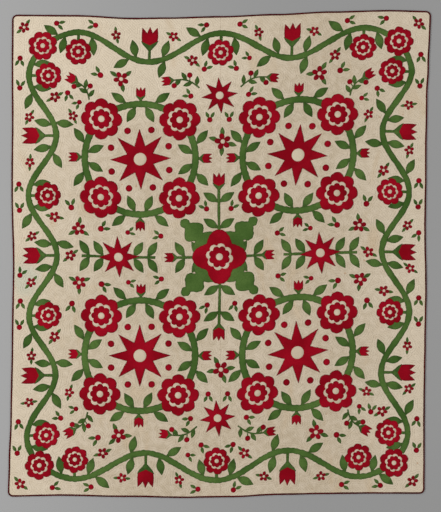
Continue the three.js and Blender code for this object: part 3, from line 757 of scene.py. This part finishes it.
def laid_shapes(colours, kinds):
    """Every shape of some colours, as its Cut and its spot; of the small shapes only some kinds."""
    whole = (0, 0, 0, 1)
    shapes = [(cut, whole) for colour, cuts in cut_pieces.values() if colour in colours for cut in cuts]
    if "green" in colours:
        shapes += [(cut, whole) for cut in twig_cuts]
        shapes += [(small_cuts["leaf"], spot) for some in leaf_spots.values() for spot in some]
    for kind in kinds:
        if SMALL_SHAPES[kind][0] in colours:
            shapes += [(small_cuts[kind], spot) for spot in spots[kind]]
    return shapes


def flat_plan(shapes):
    """The edges of laid shapes as a tree of points, and all their cloth as one flat surface."""
    edges, points, faces, base = [], [], [], 0
    for cut, spot in shapes:
        x, y, turn, size = spot
        edges += [stepped(loop, 4.0) for loop in shape_loops(cut, spot)]
        points.append(moved(cut.points * size, (x, y), turn))
        faces += [tuple(base + i for i in face) for face in cut.faces]
        base += len(cut.points)
    edges = np.concatenate(edges)
    tree = KDTree(len(edges))
    for i, (x, y) in enumerate(edges):
        tree.insert((x, y, 0), i)
    tree.balance()
    return tree, BVHTree.FromPolygons([(x, y, 0) for x, y in np.concatenate(points)], faces)


def is_covered(surface, x, y):
    return surface.ray_cast((x, y, 5), Vector((0, 0, -1)))[0] is not None


def find_room(shapes, centre, way, tree, surface, others):
    """The shapes at the nearest place where they keep clear of all that is sewn, or none."""
    loops = [loop for kind, *spot in shapes for loop in shape_loops(small_cuts[kind], spot)]
    outline = np.concatenate(loops)
    limits = np.array([QUILT_WIDTH, QUILT_LENGTH]) / 2 - SPRIG_MARGIN
    for shift in SPRIG_SHIFTS:
        for step in range(8 if shift else 1):
            middle = np.asarray(centre) + turned((shift, 0), step * math.pi / 4)
            if is_covered(surface, *middle):
                continue
            near = [points for other, points in others if np.linalg.norm(middle - other) < SPRIG_SPREAD]
            for lean in SPRIG_LEANS:
                turn = way + lean
                points = moved(outline, middle, turn)
                if (np.abs(points) > limits).any():
                    continue
                if any(tree.find((x, y, 0))[2] < CLEARANCE for x, y in points):
                    continue
                if any(np.linalg.norm(points[:, None] - some, axis=2).min() < CLEARANCE for some in near):
                    continue
                others.append((middle, points))
                return [
                    (kind, (*moved((x, y), middle, turn), own + turn, size))
                    for kind, x, y, own, size in shapes
                ]
    return []


main_tree, main_surface = flat_plan(laid_shapes(("red", "green"), ("tulip", "berry", "small_leaf")))
sewn_sprigs = []
for shapes, centre, way in wishes:
    for kind, spot in find_room(shapes, centre, way, main_tree, main_surface, sewn_sprigs):
        spots[kind].append(spot)

# The ground's relief.
half_x, half_y = QUILT_WIDTH / 2 - TONGUE_INSET, QUILT_LENGTH / 2 - TONGUE_INSET
columns, rows = round(2 * half_x / GROUND_PITCH), round(2 * half_y / GROUND_PITCH)
grid_x = np.linspace(-half_x, half_x, columns + 1)
grid_y = np.linspace(-half_y, half_y, rows + 1)
flat_x, flat_y = np.meshgrid(grid_x, grid_y)
ground_flat = np.stack([flat_x.ravel(), flat_y.ravel()], -1)
lowest_kinds = ("tulip", "berry", "floret", "small_leaf")
edge_tree, sewn_surface = flat_plan(laid_shapes(("red", "green"), lowest_kinds))
to_edge = np.array([edge_tree.find((x, y, 0))[2] for x, y in ground_flat])
under = np.array([is_covered(sewn_surface, x, y) for x, y in ground_flat])

# Rings round the sewn shapes, slanting rows beyond them, and broad swells where the cloth is slack.
echo = np.where(under, 0, to_edge) / QUILTING_PITCH
far = np.clip((echo - ECHO_REACH + 0.5), 0, 1)
column_number, row_number = np.meshgrid(np.arange(columns + 1), np.arange(rows + 1))
ridge = ((column_number + row_number) / 2.0).ravel()
inset = np.minimum(half_x - np.abs(ground_flat[:, 0]), half_y - np.abs(ground_flat[:, 1])) + TONGUE_INSET
x_m, y_m = ground_flat[:, 0] / 1000, ground_flat[:, 1] / 1000
slack = (
    0.34 * np.sin(11 * x_m + 3 * np.sin(5 * y_m)) * np.sin(9 * y_m + 2.1)
    + 0.22 * np.sin(23 * x_m + 1.3) * np.sin(19 * y_m + 2 * np.sin(7 * x_m))
    + 0.14 * np.sin(41 * x_m + 17 * y_m)
)
diagonal = np.where((column_number + row_number).ravel() % 2 == 0, -1.0, 1.0)
rings = -np.cos(2 * math.pi * echo / 2)
relief = RIDGE_HEIGHT * (far * diagonal + (1 - far) * np.where(under, 0.0, 0.6 * rings))
sunk = SEAM_SINK * np.exp(-((to_edge / SEAM_SINK_REACH) ** 2)) * ~under
inner = np.clip((inset - LIP_INSET) / RIM_RISE, 0, 1)
inner = inner * inner * (3 - 2 * inner)
level = TONGUE_HIGH + inner * (GROUND_HEIGHT + slack - TONGUE_HIGH)
ground_height = np.where(inset <= LIP_INSET + 1, TONGUE_HIGH, level + inner * (relief - sunk))
ground_height = ground_height.reshape(rows + 1, columns + 1)
level = np.maximum(level, GROUND_HEIGHT - 0.2).reshape(rows + 1, columns + 1)


def level_at(points):
    """The ground's height without its quilting, in millimetres, at points of the straight rectangle."""
    u = np.clip((points[:, 0] + half_x) / (2 * half_x) * columns, 0, columns - 1e-6)
    v = np.clip((points[:, 1] + half_y) / (2 * half_y) * rows, 0, rows - 1e-6)
    i, j = u.astype(int), v.astype(int)
    a, b = u - i, v - j
    h = level
    lower = (1 - a) * h[j, i] + a * h[j, i + 1]
    upper = (1 - a) * h[j + 1, i] + a * h[j + 1, i + 1]
    return (1 - b) * lower + b * upper


def laid(points, height):
    """Points of the straight rectangle, with heights over the ground, in the quilt's frame in metres."""
    return np.concatenate([place(points), ((level_at(points) + height) * 0.001)[:, None]], 1)


# Meshes.
def plain_object(name, points, edges=(), faces=(), attributes=()):
    mesh = bpy.data.meshes.new(name)
    mesh.from_pydata([tuple(p) for p in points], list(edges), [tuple(int(i) for i in f) for f in faces])
    for key, values in dict(attributes).items():
        layer = mesh.attributes.new(key, "FLOAT", "POINT")
        layer.data.foreach_set("value", np.asarray(values, np.float32))
    thing = bpy.data.objects.new(name, mesh)
    bpy.context.scene.collection.objects.link(thing)
    return thing


def new_piece(name, points, faces, material, nodes=(), attributes=()):
    piece = plain_object(name, points, (), faces, attributes)
    piece.data.shade_smooth()
    piece.data.materials.append(material)
    piece.data.update()
    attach(piece, "root")
    if nodes:
        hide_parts(*nodes)
    return piece


def flat_cloth(name, pile, material, nodes=()):
    """One piece from a pile of (points, heights, hems, faces) in the straight rectangle."""
    points, hems, faces, base = [], [], [], 0
    for flat, height, hem, some in pile:
        points.append(laid(np.asarray(flat, float), np.asarray(height, float)))
        hems.append(hem)
        faces += [tuple(base + i for i in face) for face in some]
        base += len(flat)
    return new_piece(
        name, np.concatenate(points), faces, material, nodes, {"hem": np.concatenate(hems)}
    )


def from_cut(cut):
    return cut.points, cut.height, cut.hem, cut.faces


# Finishes.
def add_node(tree, kind, inputs=(), **settings):
    """A new node with its settings, its inputs fed with values or with other nodes' outputs."""
    node = tree.nodes.new(kind)
    for key, value in settings.items():
        setattr(node, key, value)
    for key, value in dict(inputs).items():
        if isinstance(value, bpy.types.NodeSocket):
            tree.links.new(value, node.inputs[key])
        elif value is not None:
            node.inputs[key].default_value = value
    return node


class Finish:
    """A material's nodes, joined one by one."""

    def __init__(self, name):
        self.material = bpy.data.materials.new(name)
        self.material.use_nodes = True
        self.material.node_tree.nodes.clear()
        self.where = self.add("ShaderNodeTexCoord").outputs["Object"]

    def add(self, kind, inputs=(), **settings):
        return add_node(self.material.node_tree, kind, inputs, **settings)

    def math(self, operation, *values):
        return self.add("ShaderNodeMath", enumerate(values), operation=operation).outputs[0]

    def blend(self, share, first, second):
        return self.add("ShaderNodeMix", {0: share, 6: first, 7: second}, data_type="RGBA").outputs[2]

    def stain(self, colour, share, depth, tint):
        """The colour with some of a tint over it."""
        return self.blend(self.math("MULTIPLY", share, depth), colour, tint)

    def between(self, value, low, high, to_low=0.0, to_high=1.0):
        ends = {"Value": value, "From Min": low, "From Max": high, "To Min": to_low, "To Max": to_high}
        return self.add("ShaderNodeMapRange", ends, interpolation_type="SMOOTHSTEP").outputs["Result"]

    def noise(self, scale, detail=2.0, distortion=0.0, where=None):
        numbers = {"Vector": where or self.where, "Scale": scale, "Detail": detail, "Distortion": distortion}
        return self.add("ShaderNodeTexNoise", numbers).outputs["Fac"]

    def stretched(self, location=(0, 0, 0), scale=(1, 1, 1)):
        numbers = {"Vector": self.where, "Location": location, "Scale": scale}
        return self.add("ShaderNodeMapping", numbers).outputs["Vector"]

    def threads(self, way, period=0.0007):
        scale = 2 * math.pi / (20 * period)
        numbers = {"Vector": self.where, "Scale": scale, "Distortion": 1.2, "Detail Scale": 0.05}
        return self.add("ShaderNodeTexWave", numbers, bands_direction=way).outputs["Fac"]

    def held(self, name):
        return self.add("ShaderNodeAttribute", attribute_name=name).outputs["Fac"]

    def across(self):
        """The place itself, as its X, Y and Z."""
        return self.add("ShaderNodeSeparateXYZ", {0: self.where}).outputs

    def patch_at(self, centre, reach):
        """1 inside an uneven oval patch at centre, 0 outside it."""
        x, y = (-middle / size for middle, size in zip(centre, reach))
        there = self.stretched((x, y, 0), (1 / reach[0], 1 / reach[1], 0.001))
        distance = self.add("ShaderNodeVectorMath", {0: there}, operation="LENGTH").outputs["Value"]
        wobble = self.math("MULTIPLY_ADD", self.noise(24.0, 3.0), 0.7, -0.35)
        return self.between(self.math("ADD", distance, wobble), 0.35, 1.15, 1.0, 0.0)

    def raised(self, height, distance, strength=1.0, normal=None):
        numbers = {"Strength": strength, "Distance": distance, "Height": height, "Normal": normal}
        return self.add("ShaderNodeBump", numbers).outputs["Normal"]

    def close(self, colour, normal, sheen=0.02):
        """Dull cloth of this colour: the material is done."""
        surface = self.add("ShaderNodeBsdfPrincipled", {
            "Base Color": colour, "Normal": normal, "Roughness": 0.94, "Specular IOR Level": 0.03,
            "Sheen Weight": sheen, "Sheen Roughness": 0.6,
        })
        self.add("ShaderNodeOutputMaterial", {"Surface": surface.outputs["BSDF"]})
        return self.material


def dyed_cotton(name, colour, deep, pale, hem_painted_shade=0.45, mottle=9.0):
    """Plain-weave cotton with a dye that has taken a little unevenly, and painted shade along its turned
    edge.
    """
    finish = Finish(name)
    broad = finish.between(finish.noise(mottle, 4.0, 0.4), 0.32, 0.68)
    fine = finish.noise(150.0, 3.0)
    dye = finish.blend(broad, (*deep, 1), (*pale, 1))
    dye = finish.blend(0.55, dye, (*colour, 1))
    dye = finish.blend(finish.between(fine, 0.3, 0.75, 0.0, 0.35), dye, (*deep, 1))
    weave = finish.math("MULTIPLY", finish.threads("X"), finish.threads("Y"))
    dye = finish.blend(finish.between(weave, 0.0, 0.6, 0.12, 0.0), dye, (0.0, 0.0, 0.0, 1))
    # Painted shade along the turned edge, darkest at the edge itself and gone about 3 mm in.
    hem = finish.held("hem")
    dark = finish.between(hem, 0.0, 0.9, 1 - hem_painted_shade, 0.0)
    dye = finish.blend(dark, dye, (0.004, 0.003, 0.003, 1))
    normal = finish.raised(finish.noise(70.0, 3.0, 0.3), 0.0009, 0.6)
    normal = finish.raised(weave, 0.00012, 0.5, normal)
    return finish.close(dye, normal)


def ground_cotton():
    """Old unbleached cotton, quilted in rings round the sewn shapes and in slanting rows beyond them."""
    finish = Finish("old_cream_cotton")
    echo, ridge, far = finish.held("echo"), finish.held("ridge"), finish.held("far")
    rows = []
    for counted in (echo, ridge):
        swing = finish.math("SINE", finish.math("MULTIPLY", counted, math.pi))
        rows.append(finish.math("POWER", finish.math("ABSOLUTE", swing), 0.6))
    quilting = finish.add("ShaderNodeMix", {0: far, 2: rows[0], 3: rows[1]}).outputs[0]
    broad = finish.between(finish.noise(1.6, 3.0, 0.5), 0.3, 0.7)
    colour = finish.blend(broad, (0.482, 0.398, 0.287, 1), (0.560, 0.474, 0.361, 1))
    mottle = finish.between(finish.noise(34.0, 6.0, 0.4), 0.28, 0.72)
    patchy = finish.blend(mottle, (0.440, 0.360, 0.252, 1), (0.612, 0.524, 0.411, 1))
    colour = finish.blend(0.5, colour, patchy)
    # Paler towards both sides, and in a broad patch at the upper left.
    across = finish.across()
    sides = finish.between(finish.math("ABSOLUTE", across["X"]), 0.45, 1.1)
    colour = finish.stain(colour, sides, 0.45, (0.665, 0.572, 0.444, 1))
    upper_left = finish.patch_at((-0.45, 1.05), (0.95, 0.42))
    colour = finish.stain(colour, upper_left, 0.55, (0.70, 0.604, 0.470, 1))
    # Soft brown bloom, spots of foxing, and a tide mark near the left edge.
    cloudy = finish.noise(7.0, 4.0, 0.8, finish.stretched(scale=(1.0, 0.45, 1.0)))
    bloom = finish.between(cloudy, 0.56, 0.76, 0.0, 0.4)
    colour = finish.blend(bloom, colour, (0.50, 0.36, 0.21, 1))
    spots_at = finish.add("ShaderNodeTexVoronoi", {"Vector": finish.where, "Scale": 17.0})
    spot = finish.between(spots_at.outputs["Distance"], 0.03, 0.13, 1.0, 0.0)
    some = finish.between(finish.noise(2.3, 2.0), 0.52, 0.62)
    colour = finish.stain(colour, finish.math("MULTIPLY", spot, some), 0.55, (0.36, 0.17, 0.07, 1))
    for centre, reach, tint, depth in (
        ((-0.99, -0.13), (0.085, 0.12), (0.36, 0.46, 0.38, 1), 0.34),
        ((-0.68, 0.26), (0.05, 0.10), (0.42, 0.27, 0.13, 1), 0.22),
        ((-0.33, -0.36), (0.05, 0.04), (0.42, 0.26, 0.12, 1), 0.25),
    ):
        colour = finish.stain(colour, finish.patch_at(centre, reach), depth, tint)
    # The seam of the two widths of cloth, and the lines where it lay folded.
    lines = None
    for place_x, width, depth in ((0.005, 0.0022, 0.34), (-0.70, 0.010, 0.08), (0.57, 0.010, 0.06)):
        gap = finish.math("ABSOLUTE", finish.math("SUBTRACT", across["X"], place_x))
        line = finish.between(gap, 0.0, width, depth, 0.0)
        lines = line if lines is None else finish.math("MAXIMUM", lines, line)
    for place_y, depth in ((0.02, 0.07), (-0.63, 0.05), (0.64, 0.05)):
        gap = finish.math("ABSOLUTE", finish.math("SUBTRACT", across["Y"], place_y))
        lines = finish.math("MAXIMUM", lines, finish.between(gap, 0.0, 0.010, depth, 0.0))
    colour = finish.blend(lines, colour, (0.30, 0.20, 0.12, 1))
    # Painted shade in the quilting's grooves.
    painted_groove_shade = finish.between(quilting, 0.0, 0.75, 0.17, 0.0)
    colour = finish.blend(painted_groove_shade, colour, (0.34, 0.25, 0.15, 1))
    weave = finish.math("MULTIPLY", finish.threads("X", 0.0008), finish.threads("Y", 0.0008))
    colour = finish.blend(finish.between(weave, 0.0, 0.6, 0.07, 0.0), colour, (0.25, 0.19, 0.12, 1))
    normal = finish.raised(quilting, 0.0016, 0.8)
    normal = finish.raised(finish.noise(95.0, 4.0, 0.4), 0.0012, 0.6, normal)
    normal = finish.raised(lines, 0.002, 0.6, normal)
    normal = finish.raised(weave, 0.00014, 0.5, normal)
    return finish.close(colour, normal, sheen=0.06)


def floor_grey():
    """A plain grey, with painted light that makes it a little lighter on the left."""
    finish = Finish("plain_grey_floor")
    grey = finish.blend(finish.noise(0.7, 2.0), (0.278, 0.278, 0.278, 1), (0.296, 0.296, 0.296, 1))
    painted_left_light = finish.between(finish.across()["X"], -1.3, 0.5, 1.0, 0.0)
    return finish.close(finish.blend(painted_left_light, grey, (0.325, 0.325, 0.325, 1)), None, sheen=0.0)


RED = dyed_cotton(
    "deep_red_cotton",
    colour=(0.275, 0.001, 0.009), deep=(0.155, 0.0005, 0.004), pale=(0.40, 0.004, 0.018), mottle=7.0,
)
GREEN = dyed_cotton(
    "old_green_cotton",
    colour=(0.064, 0.130, 0.025), deep=(0.024, 0.062, 0.010), pale=(0.120, 0.196, 0.050), mottle=5.0,
)
# The binding and the cream patches get deeper painted shade along their turned edges.
BINDING = dyed_cotton(
    "dark_red_binding_cotton",
    colour=(0.060, 0.002, 0.002), deep=(0.032, 0.001, 0.001), pale=(0.095, 0.003, 0.003), hem_painted_shade=0.8,
)
CREAM = dyed_cotton(
    "cream_patch_cotton",
    colour=(0.59, 0.50, 0.375), deep=(0.50, 0.41, 0.29), pale=(0.66, 0.57, 0.44), hem_painted_shade=0.75,
)
MUSLIN = ground_cotton()
CLOTH = {"red": (RED, "red_cotton"), "green": (GREEN, "green_cotton"), "cream": (CREAM, "ground_cotton")}


# What repeats: geometry nodes.
def group_with(name, **inputs):
    tree = bpy.data.node_groups.new(name, "GeometryNodeTree")
    tree.interface.new_socket("Geometry", in_out="INPUT", socket_type="NodeSocketGeometry")
    for key, kind in inputs.items():
        tree.interface.new_socket(key, in_out="INPUT", socket_type=kind)
    tree.interface.new_socket("Geometry", in_out="OUTPUT", socket_type="NodeSocketGeometry")
    return tree, tree.nodes.new("NodeGroupInput").outputs


def finish_group(tree, start, instances):
    """The end of every tree here: real meshes, in the given cloth or thread."""
    real = add_node(tree, "GeometryNodeRealizeInstances", {0: instances.outputs[0]})
    cloth = {"Geometry": real.outputs[0], "Material": start["Cloth"]}
    dressed = add_node(tree, "GeometryNodeSetMaterial", cloth)
    add_node(tree, "NodeGroupOutput", {0: dressed.outputs[0]})
    return tree


def shapes_on_spots():
    """A cut shape at every point, turned and sized by the point's own numbers."""
    tree, start = group_with(
        "shapes_on_spots", Shape="NodeSocketObject", Size="NodeSocketFloat", Cloth="NodeSocketMaterial"
    )
    turn, grow = (
        add_node(tree, "GeometryNodeInputNamedAttribute", {"Name": key}, data_type="FLOAT")
        for key in ("turn", "grow")
    )
    turn = add_node(tree, "ShaderNodeCombineXYZ", {"Z": turn.outputs["Attribute"]})
    sizes = {0: grow.outputs["Attribute"], 1: start["Size"]}
    grow = add_node(tree, "ShaderNodeMath", sizes, operation="MULTIPLY")
    shape = add_node(tree, "GeometryNodeObjectInfo", {"Object": start["Shape"]})
    return finish_group(tree, start, add_node(tree, "GeometryNodeInstanceOnPoints", {
        "Points": start["Geometry"], "Instance": shape.outputs["Geometry"],
        "Rotation": turn.outputs[0], "Scale": grow.outputs[0],
    }))


def stitches_on_lines():
    """A stitch at every pitch along the lines, lying along them and turned by its slant."""
    tree, start = group_with(
        "stitches_on_lines", Stitch="NodeSocketObject", Pitch="NodeSocketFloat", Slant="NodeSocketFloat",
        Cloth="NodeSocketMaterial",
    )
    line = add_node(tree, "GeometryNodeMeshToCurve", {"Mesh": start["Geometry"]})
    steps = {"Curve": line.outputs[0], "Length": start["Pitch"]}
    even = add_node(tree, "GeometryNodeResampleCurve", steps, mode="LENGTH")
    along = add_node(tree, "GeometryNodeInputTangent")
    lie = add_node(tree, "FunctionNodeAlignRotationToVector", {"Vector": along.outputs[0]})
    slant = add_node(tree, "ShaderNodeCombineXYZ", {"Z": start["Slant"]})
    turns = {"Rotation": lie.outputs[0], "Rotate By": slant.outputs[0]}
    turned_by = add_node(tree, "FunctionNodeRotateRotation", turns, rotation_space="LOCAL")
    stitch = add_node(tree, "GeometryNodeObjectInfo", {"Object": start["Stitch"]})
    return finish_group(tree, start, add_node(tree, "GeometryNodeInstanceOnPoints", {
        "Points": even.outputs[0], "Instance": stitch.outputs["Geometry"], "Rotation": turned_by.outputs[0],
    }))


def run_group(host, tree, inputs, numbers=()):
    """The tree's result on the host, read as points, faces and the points' numbers. The host goes."""
    modifier = host.modifiers.new("sewing", "NODES")
    modifier.node_group = tree
    keys = {item.name: item.identifier for item in tree.interface.items_tree if item.in_out == "INPUT"}
    for name, value in inputs.items():
        modifier[keys[name]] = value
    bpy.context.view_layer.update()
    graph = bpy.context.evaluated_depsgraph_get()
    mesh = bpy.data.meshes.new_from_object(host.evaluated_get(graph))
    host.modifiers.remove(modifier)
    bpy.data.objects.remove(host)
    points = np.empty(3 * len(mesh.vertices), np.float32)
    mesh.vertices.foreach_get("co", points)
    values = []
    for name in numbers:
        values.append(np.empty(len(mesh.vertices), np.float32))
        mesh.attributes[name].data.foreach_get("value", values[-1])
    faces = [tuple(face.vertices) for face in mesh.polygons]
    bpy.data.meshes.remove(mesh)
    return points.reshape(-1, 3), faces, values


SPOT_TREE, STITCH_TREE = shapes_on_spots(), stitches_on_lines()
small_shapes = {}
for kind, cut in small_cuts.items():
    numbers = {"height": cut.height, "hem": cut.hem}
    points = [(x, y, 0) for x, y in cut.points]
    small_shapes[kind] = plain_object("cut_" + kind, points, (), cut.faces, numbers)


def sew_many(kind, where, cloth):
    """A small shape sewn at each spot, as a pile for flat_cloth."""
    numbers = {"turn": [spot[2] for spot in where], "grow": [spot[3] for spot in where]}
    host = plain_object("spots", [(x, y, 0) for x, y, _, _ in where], attributes=numbers)
    inputs = {"Shape": small_shapes[kind], "Size": 1.0, "Cloth": cloth}
    points, faces, (height, hem) = run_group(host, SPOT_TREE, inputs, ("height", "hem"))
    return points[:, :2].astype(float), height, hem, faces


# The quilted ground.
def quilted_ground():
    """The top's grid, its rim tucked into the binding and folded under, and a flat back."""
    corner = (QUILT_WIDTH / 2 - CORNER_RADIUS, QUILT_LENGTH / 2 - CORNER_RADIUS)
    reach = CORNER_RADIUS - TONGUE_INSET
    flat = ground_flat.copy()
    over = (np.abs(flat) - corner) / reach
    in_corner = (over > 0).all(1)
    a, b = over[in_corner, 0], over[in_corner, 1]
    pull = np.maximum(a, b) / np.hypot(a, b)
    pulled = np.array(corner) + reach * np.stack([a * pull, b * pull], -1)
    flat[in_corner] = np.sign(flat[in_corner]) * pulled

    def at(column, row):
        return row * (columns + 1) + column

    ring = [at(i, 0) for i in range(columns)] + [at(columns, j) for j in range(rows)]
    ring += [at(i, rows) for i in range(columns, 0, -1)] + [at(0, j) for j in range(rows, 0, -1)]
    ring = np.array(ring)
    core = np.clip(flat[ring], (-corner[0], -corner[1]), corner)
    out = (flat[ring] - core) / np.linalg.norm(flat[ring] - core, axis=1)[:, None]
    levels = [(TONGUE_INSET, TONGUE_LOW), (LIP_INSET + 0.1, TONGUE_LOW), (LIP_INSET + 0.3, 0.0)]
    loops = [core + out * (CORNER_RADIUS - depth) for depth, _ in levels]
    count, around = len(flat), len(ring)
    i, j = np.meshgrid(np.arange(columns), np.arange(rows))
    i, j = i.ravel(), j.ravel()
    corners = [at(i, j), at(i + 1, j), at(i + 1, j + 1), at(i, j + 1)]
    faces = np.concatenate([
        np.stack([corners[0], corners[1], corners[3]], -1),
        np.stack([corners[1], corners[2], corners[3]], -1),
    ]).tolist()
    rings_of = [ring] + [count + k * around + np.arange(around) for k in range(3)]
    for upper, lower in zip(rings_of, rings_of[1:]):
        faces += [(int(upper[(k + 1) % around]), int(upper[k]), int(lower[k]), int(lower[(k + 1) % around]))
                  for k in range(around)]
    back = [
        np.arange(-half + BACK_PITCH, half - BACK_PITCH * 2 / 3, BACK_PITCH) for half in (half_x, half_y)
    ]
    back = np.stack(np.meshgrid(*back), -1).reshape(-1, 2)
    coords = [Vector(p) for p in np.concatenate([loops[2], back])]
    filled = geometry.delaunay_2d_cdt(coords, [(k, (k + 1) % around) for k in range(around)], [], 1, 1e-5)
    back_points = np.array([tuple(p) for p in filled[0]])
    first = count + 2 * around
    faces += [tuple(first + k for k in reversed(face)) for face in Cut.facing(back_points, filled[2])]
    all_flat = np.concatenate([flat, loops[0], loops[1], back_points])
    tongue = np.full(2 * around, TONGUE_LOW)
    height = np.concatenate([ground_height.ravel(), tongue, np.zeros(len(back_points))])
    points = np.concatenate([place(all_flat), height[:, None] * 0.001], 1)
    rest = len(points) - count
    slant = (all_flat[count:, 0] + all_flat[count:, 1]) / (2 * GROUND_PITCH)
    values = {
        "echo": np.concatenate([echo, np.zeros(rest)]),
        "ridge": np.concatenate([ridge, slant]),
        "far": np.concatenate([far, np.ones(rest)]),
    }
    return new_piece("quilted_ground", points, faces, MUSLIN, ["quilted_body"], values)


# The binding's section: how far in from the edge, and how high.
BINDING_SECTION = [
    (8.0, 3.4), (8.1, 4.05), (7.4, 4.4), (5.0, 4.62), (2.6, 4.45), (1.0, 3.9), (0.2, 3.1), (0.0, 2.2),
    (0.2, 1.3), (0.9, 0.5), (2.2, 0.08), (8.0, 0.0), (8.0, 1.0), (1.6, 1.0), (1.5, 3.4),
]


def binding_strip(turn, name):
    """The folded strip of one side, with slow sways and short puckers that end at its corners."""
    stations = BINDING_STATIONS[turn % 2]
    lines = [straight_side(turn, depth, stations, BINDING_CORNER_STEPS) for depth, _ in BINDING_SECTION]
    count, corners = len(lines[0]), len(BINDING_SECTION)
    run = np.arange(count) * BINDING_STEP
    sway = 0.5 * np.sin(run / 57 + turn) + 0.35 * np.sin(run / 23 + 2 * turn)
    pucker = 0.14 * np.sin(run / 5.1 + turn) + 0.16 * np.sin(run / 11.7 + 3 * turn)
    ends = np.minimum(1, np.minimum(np.arange(count), np.arange(count)[::-1]) / BINDING_CORNER_STEPS)
    middle = turned((0, 1), turn * math.pi / 2)
    points = []
    for (depth, height), line in zip(BINDING_SECTION, lines):
        line = line.copy()
        for end, step in ((0, 1), (-1, -2)):
            way = line[step] - line[end]
            line[end] += way / np.linalg.norm(way) * BINDING_LAP
        share = min(1.0, depth / 4) * (1 if height > 3.2 else 0)
        shift = (0.4 * sway + share * 0.8 * sway[::-1]) * ends
        lift = pucker * ends * (1 if height > 3.5 else 0)
        flat = place(line + shift[:, None] * middle)
        points.append(np.concatenate([flat, ((height + lift) * 0.001)[:, None]], 1))
    points = np.stack(points, 1).reshape(-1, 3)
    faces = []
    for station in range(count - 1):
        for k in range(corners):
            following = (k + 1) % corners
            a, b = station * corners + k, station * corners + following
            faces.append((a, b, b + corners, a + corners))
    section = [Vector(p) for p in BINDING_SECTION]
    cap = geometry.tessellate_polygon([[Vector((*p, 0)) for p in BINDING_SECTION]])
    last = (count - 1) * corners
    for face in cap:
        a, b, c = (section[k] for k in face)
        left = (b - a).cross(c - a) > 0
        face = tuple(face) if left else tuple(reversed(face))
        faces.append(tuple(reversed(face)))
        faces.append(tuple(last + k for k in face))
    # The low hem numbers paint shade at the section's inner corners, where the strip folds round and meets
    # the quilt.
    hem = np.tile([0.2 if height in (3.4, 0.0) else 1.0 for _, height in BINDING_SECTION], count)
    return new_piece(
        "folded_binding_" + name, points, faces, BINDING, ["binding_" + name], {"hem": hem}
    )


def stitch_piece(name, lines, stitch, material):
    """Stitches along lines, each line an array of points in the quilt's frame."""
    length, width, height = stitch["size"]
    corners = [
        (-length / 2, 0, 0), (length / 2, 0, 0), (0, -width / 2, 0), (0, width / 2, 0),
        (0, 0, height), (0, 0, -height),
    ]
    sides = [(0, 2, 4), (2, 1, 4), (1, 3, 4), (3, 0, 4), (2, 0, 5), (1, 2, 5), (3, 1, 5), (0, 3, 5)]
    shape = plain_object("one_stitch", corners, (), sides)
    points, edges = [], []
    for line in lines:
        edges += [(len(points) + k, len(points) + k + 1) for k in range(len(line) - 1)]
        points += [tuple(p) for p in line]
    inputs = {"Stitch": shape, "Pitch": stitch["pitch"], "Slant": stitch["slant"], "Cloth": material}
    sewn, faces, _ = run_group(plain_object("line", points, edges), STITCH_TREE, inputs)
    bpy.data.objects.remove(shape)
    return new_piece(name, sewn, faces, material, (), {"hem": np.ones(len(sewn))})


def edge_lines(colour):
    """Lines just inside the turned edges of every shape of one colour, in the quilt's frame."""
    lines = []
    for cut, spot in laid_shapes((colour,), SMALL_SHAPES):
        for loop in shape_loops(cut, spot):
            inner = loop + EDGE_STITCH_INSET * leftward(loop)
            line = laid(inner, np.full(len(inner), fold_height(EDGE_STITCH_INSET, cut.face) + 0.05))
            lines.append(np.concatenate([line, line[:1]]))
    return lines


# Sewing it all together.
ground = quilted_ground()
sewn_on = [binding_strip(turn, name) for turn, name in enumerate(("bottom", "right", "top", "left"))]
for name, (colour, cuts) in cut_pieces.items():
    material, slot_name = CLOTH[colour]
    pile = [from_cut(cut) for cut in cuts]
    if name in leaf_spots:
        pile.append(sew_many("leaf", leaf_spots[name], material))
    sewn_on.append(flat_cloth("sewn_" + name, pile, material, [name]))
material, slot_name = CLOTH["green"]
sewn_on.append(flat_cloth("sewn_twigs", [from_cut(cut) for cut in twig_cuts], material))
for kind, (colour, name) in SMALL_SHAPES.items():
    material, slot_name = CLOTH[colour]
    sewn_on.append(flat_cloth(name, [sew_many(kind, spots[kind], material)], material))

binding_lines = []
for turn in range(4):
    line = straight_side(turn, BINDING_STITCH_INSET, 300, 8)
    height = np.full((len(line), 1), BINDING_STITCH_HEIGHT * 0.001)
    binding_lines.append(np.concatenate([place(line), height], 1))
sewn_on.append(stitch_piece("binding_stitches", binding_lines, BINDING_STITCH, BINDING))
for colour, (material, slot_name) in CLOTH.items():
    name = "edge_stitches_" + colour
    sewn_on.append(stitch_piece(name, edge_lines(colour), EDGE_STITCH, material))
for shape in small_shapes.values():
    bpy.data.objects.remove(shape)

# Floor, light and camera.
floor_corners = [(-1, -1), (1, -1), (1, 1), (-1, 1)]
floor_points = [(x * FLOOR_REACH, y * FLOOR_REACH, -FLOOR_DEPTH) for x, y in floor_corners]
floor = plain_object("floor", floor_points, (), [(0, 1, 2, 3)])
floor.data.materials.append(floor_grey())

world = bpy.data.worlds.new("soft_room")
world.use_nodes = True
room = world.node_tree.nodes["Background"].inputs
room["Color"].default_value = (1.0, 0.99, 0.97, 1)
room["Strength"].default_value = ROOM_LIGHT
bpy.context.scene.world = world

for name, location, size, power in LIGHTS:
    lamp = bpy.data.lights.new(name, "AREA")
    lamp.shape = "SQUARE"
    lamp.size = size
    lamp.energy = power
    thing = bpy.data.objects.new(name, lamp)
    thing.location = location
    thing.rotation_euler = (-Vector(location)).to_track_quat("-Z", "Y").to_euler()
    bpy.context.scene.collection.objects.link(thing)

camera_data = bpy.data.cameras.new("copy_camera")
camera_data.sensor_width = 36
camera_data.lens = CAMERA_LENS
camera_data.clip_end = 60
camera = bpy.data.objects.new("copy_camera", camera_data)
camera.location = CAMERA_PLACE
camera.rotation_euler = (0, 0, 0)
bpy.context.scene.collection.objects.link(camera)
bpy.context.scene.camera = camera
bpy.context.scene.view_settings.view_transform = "Standard"
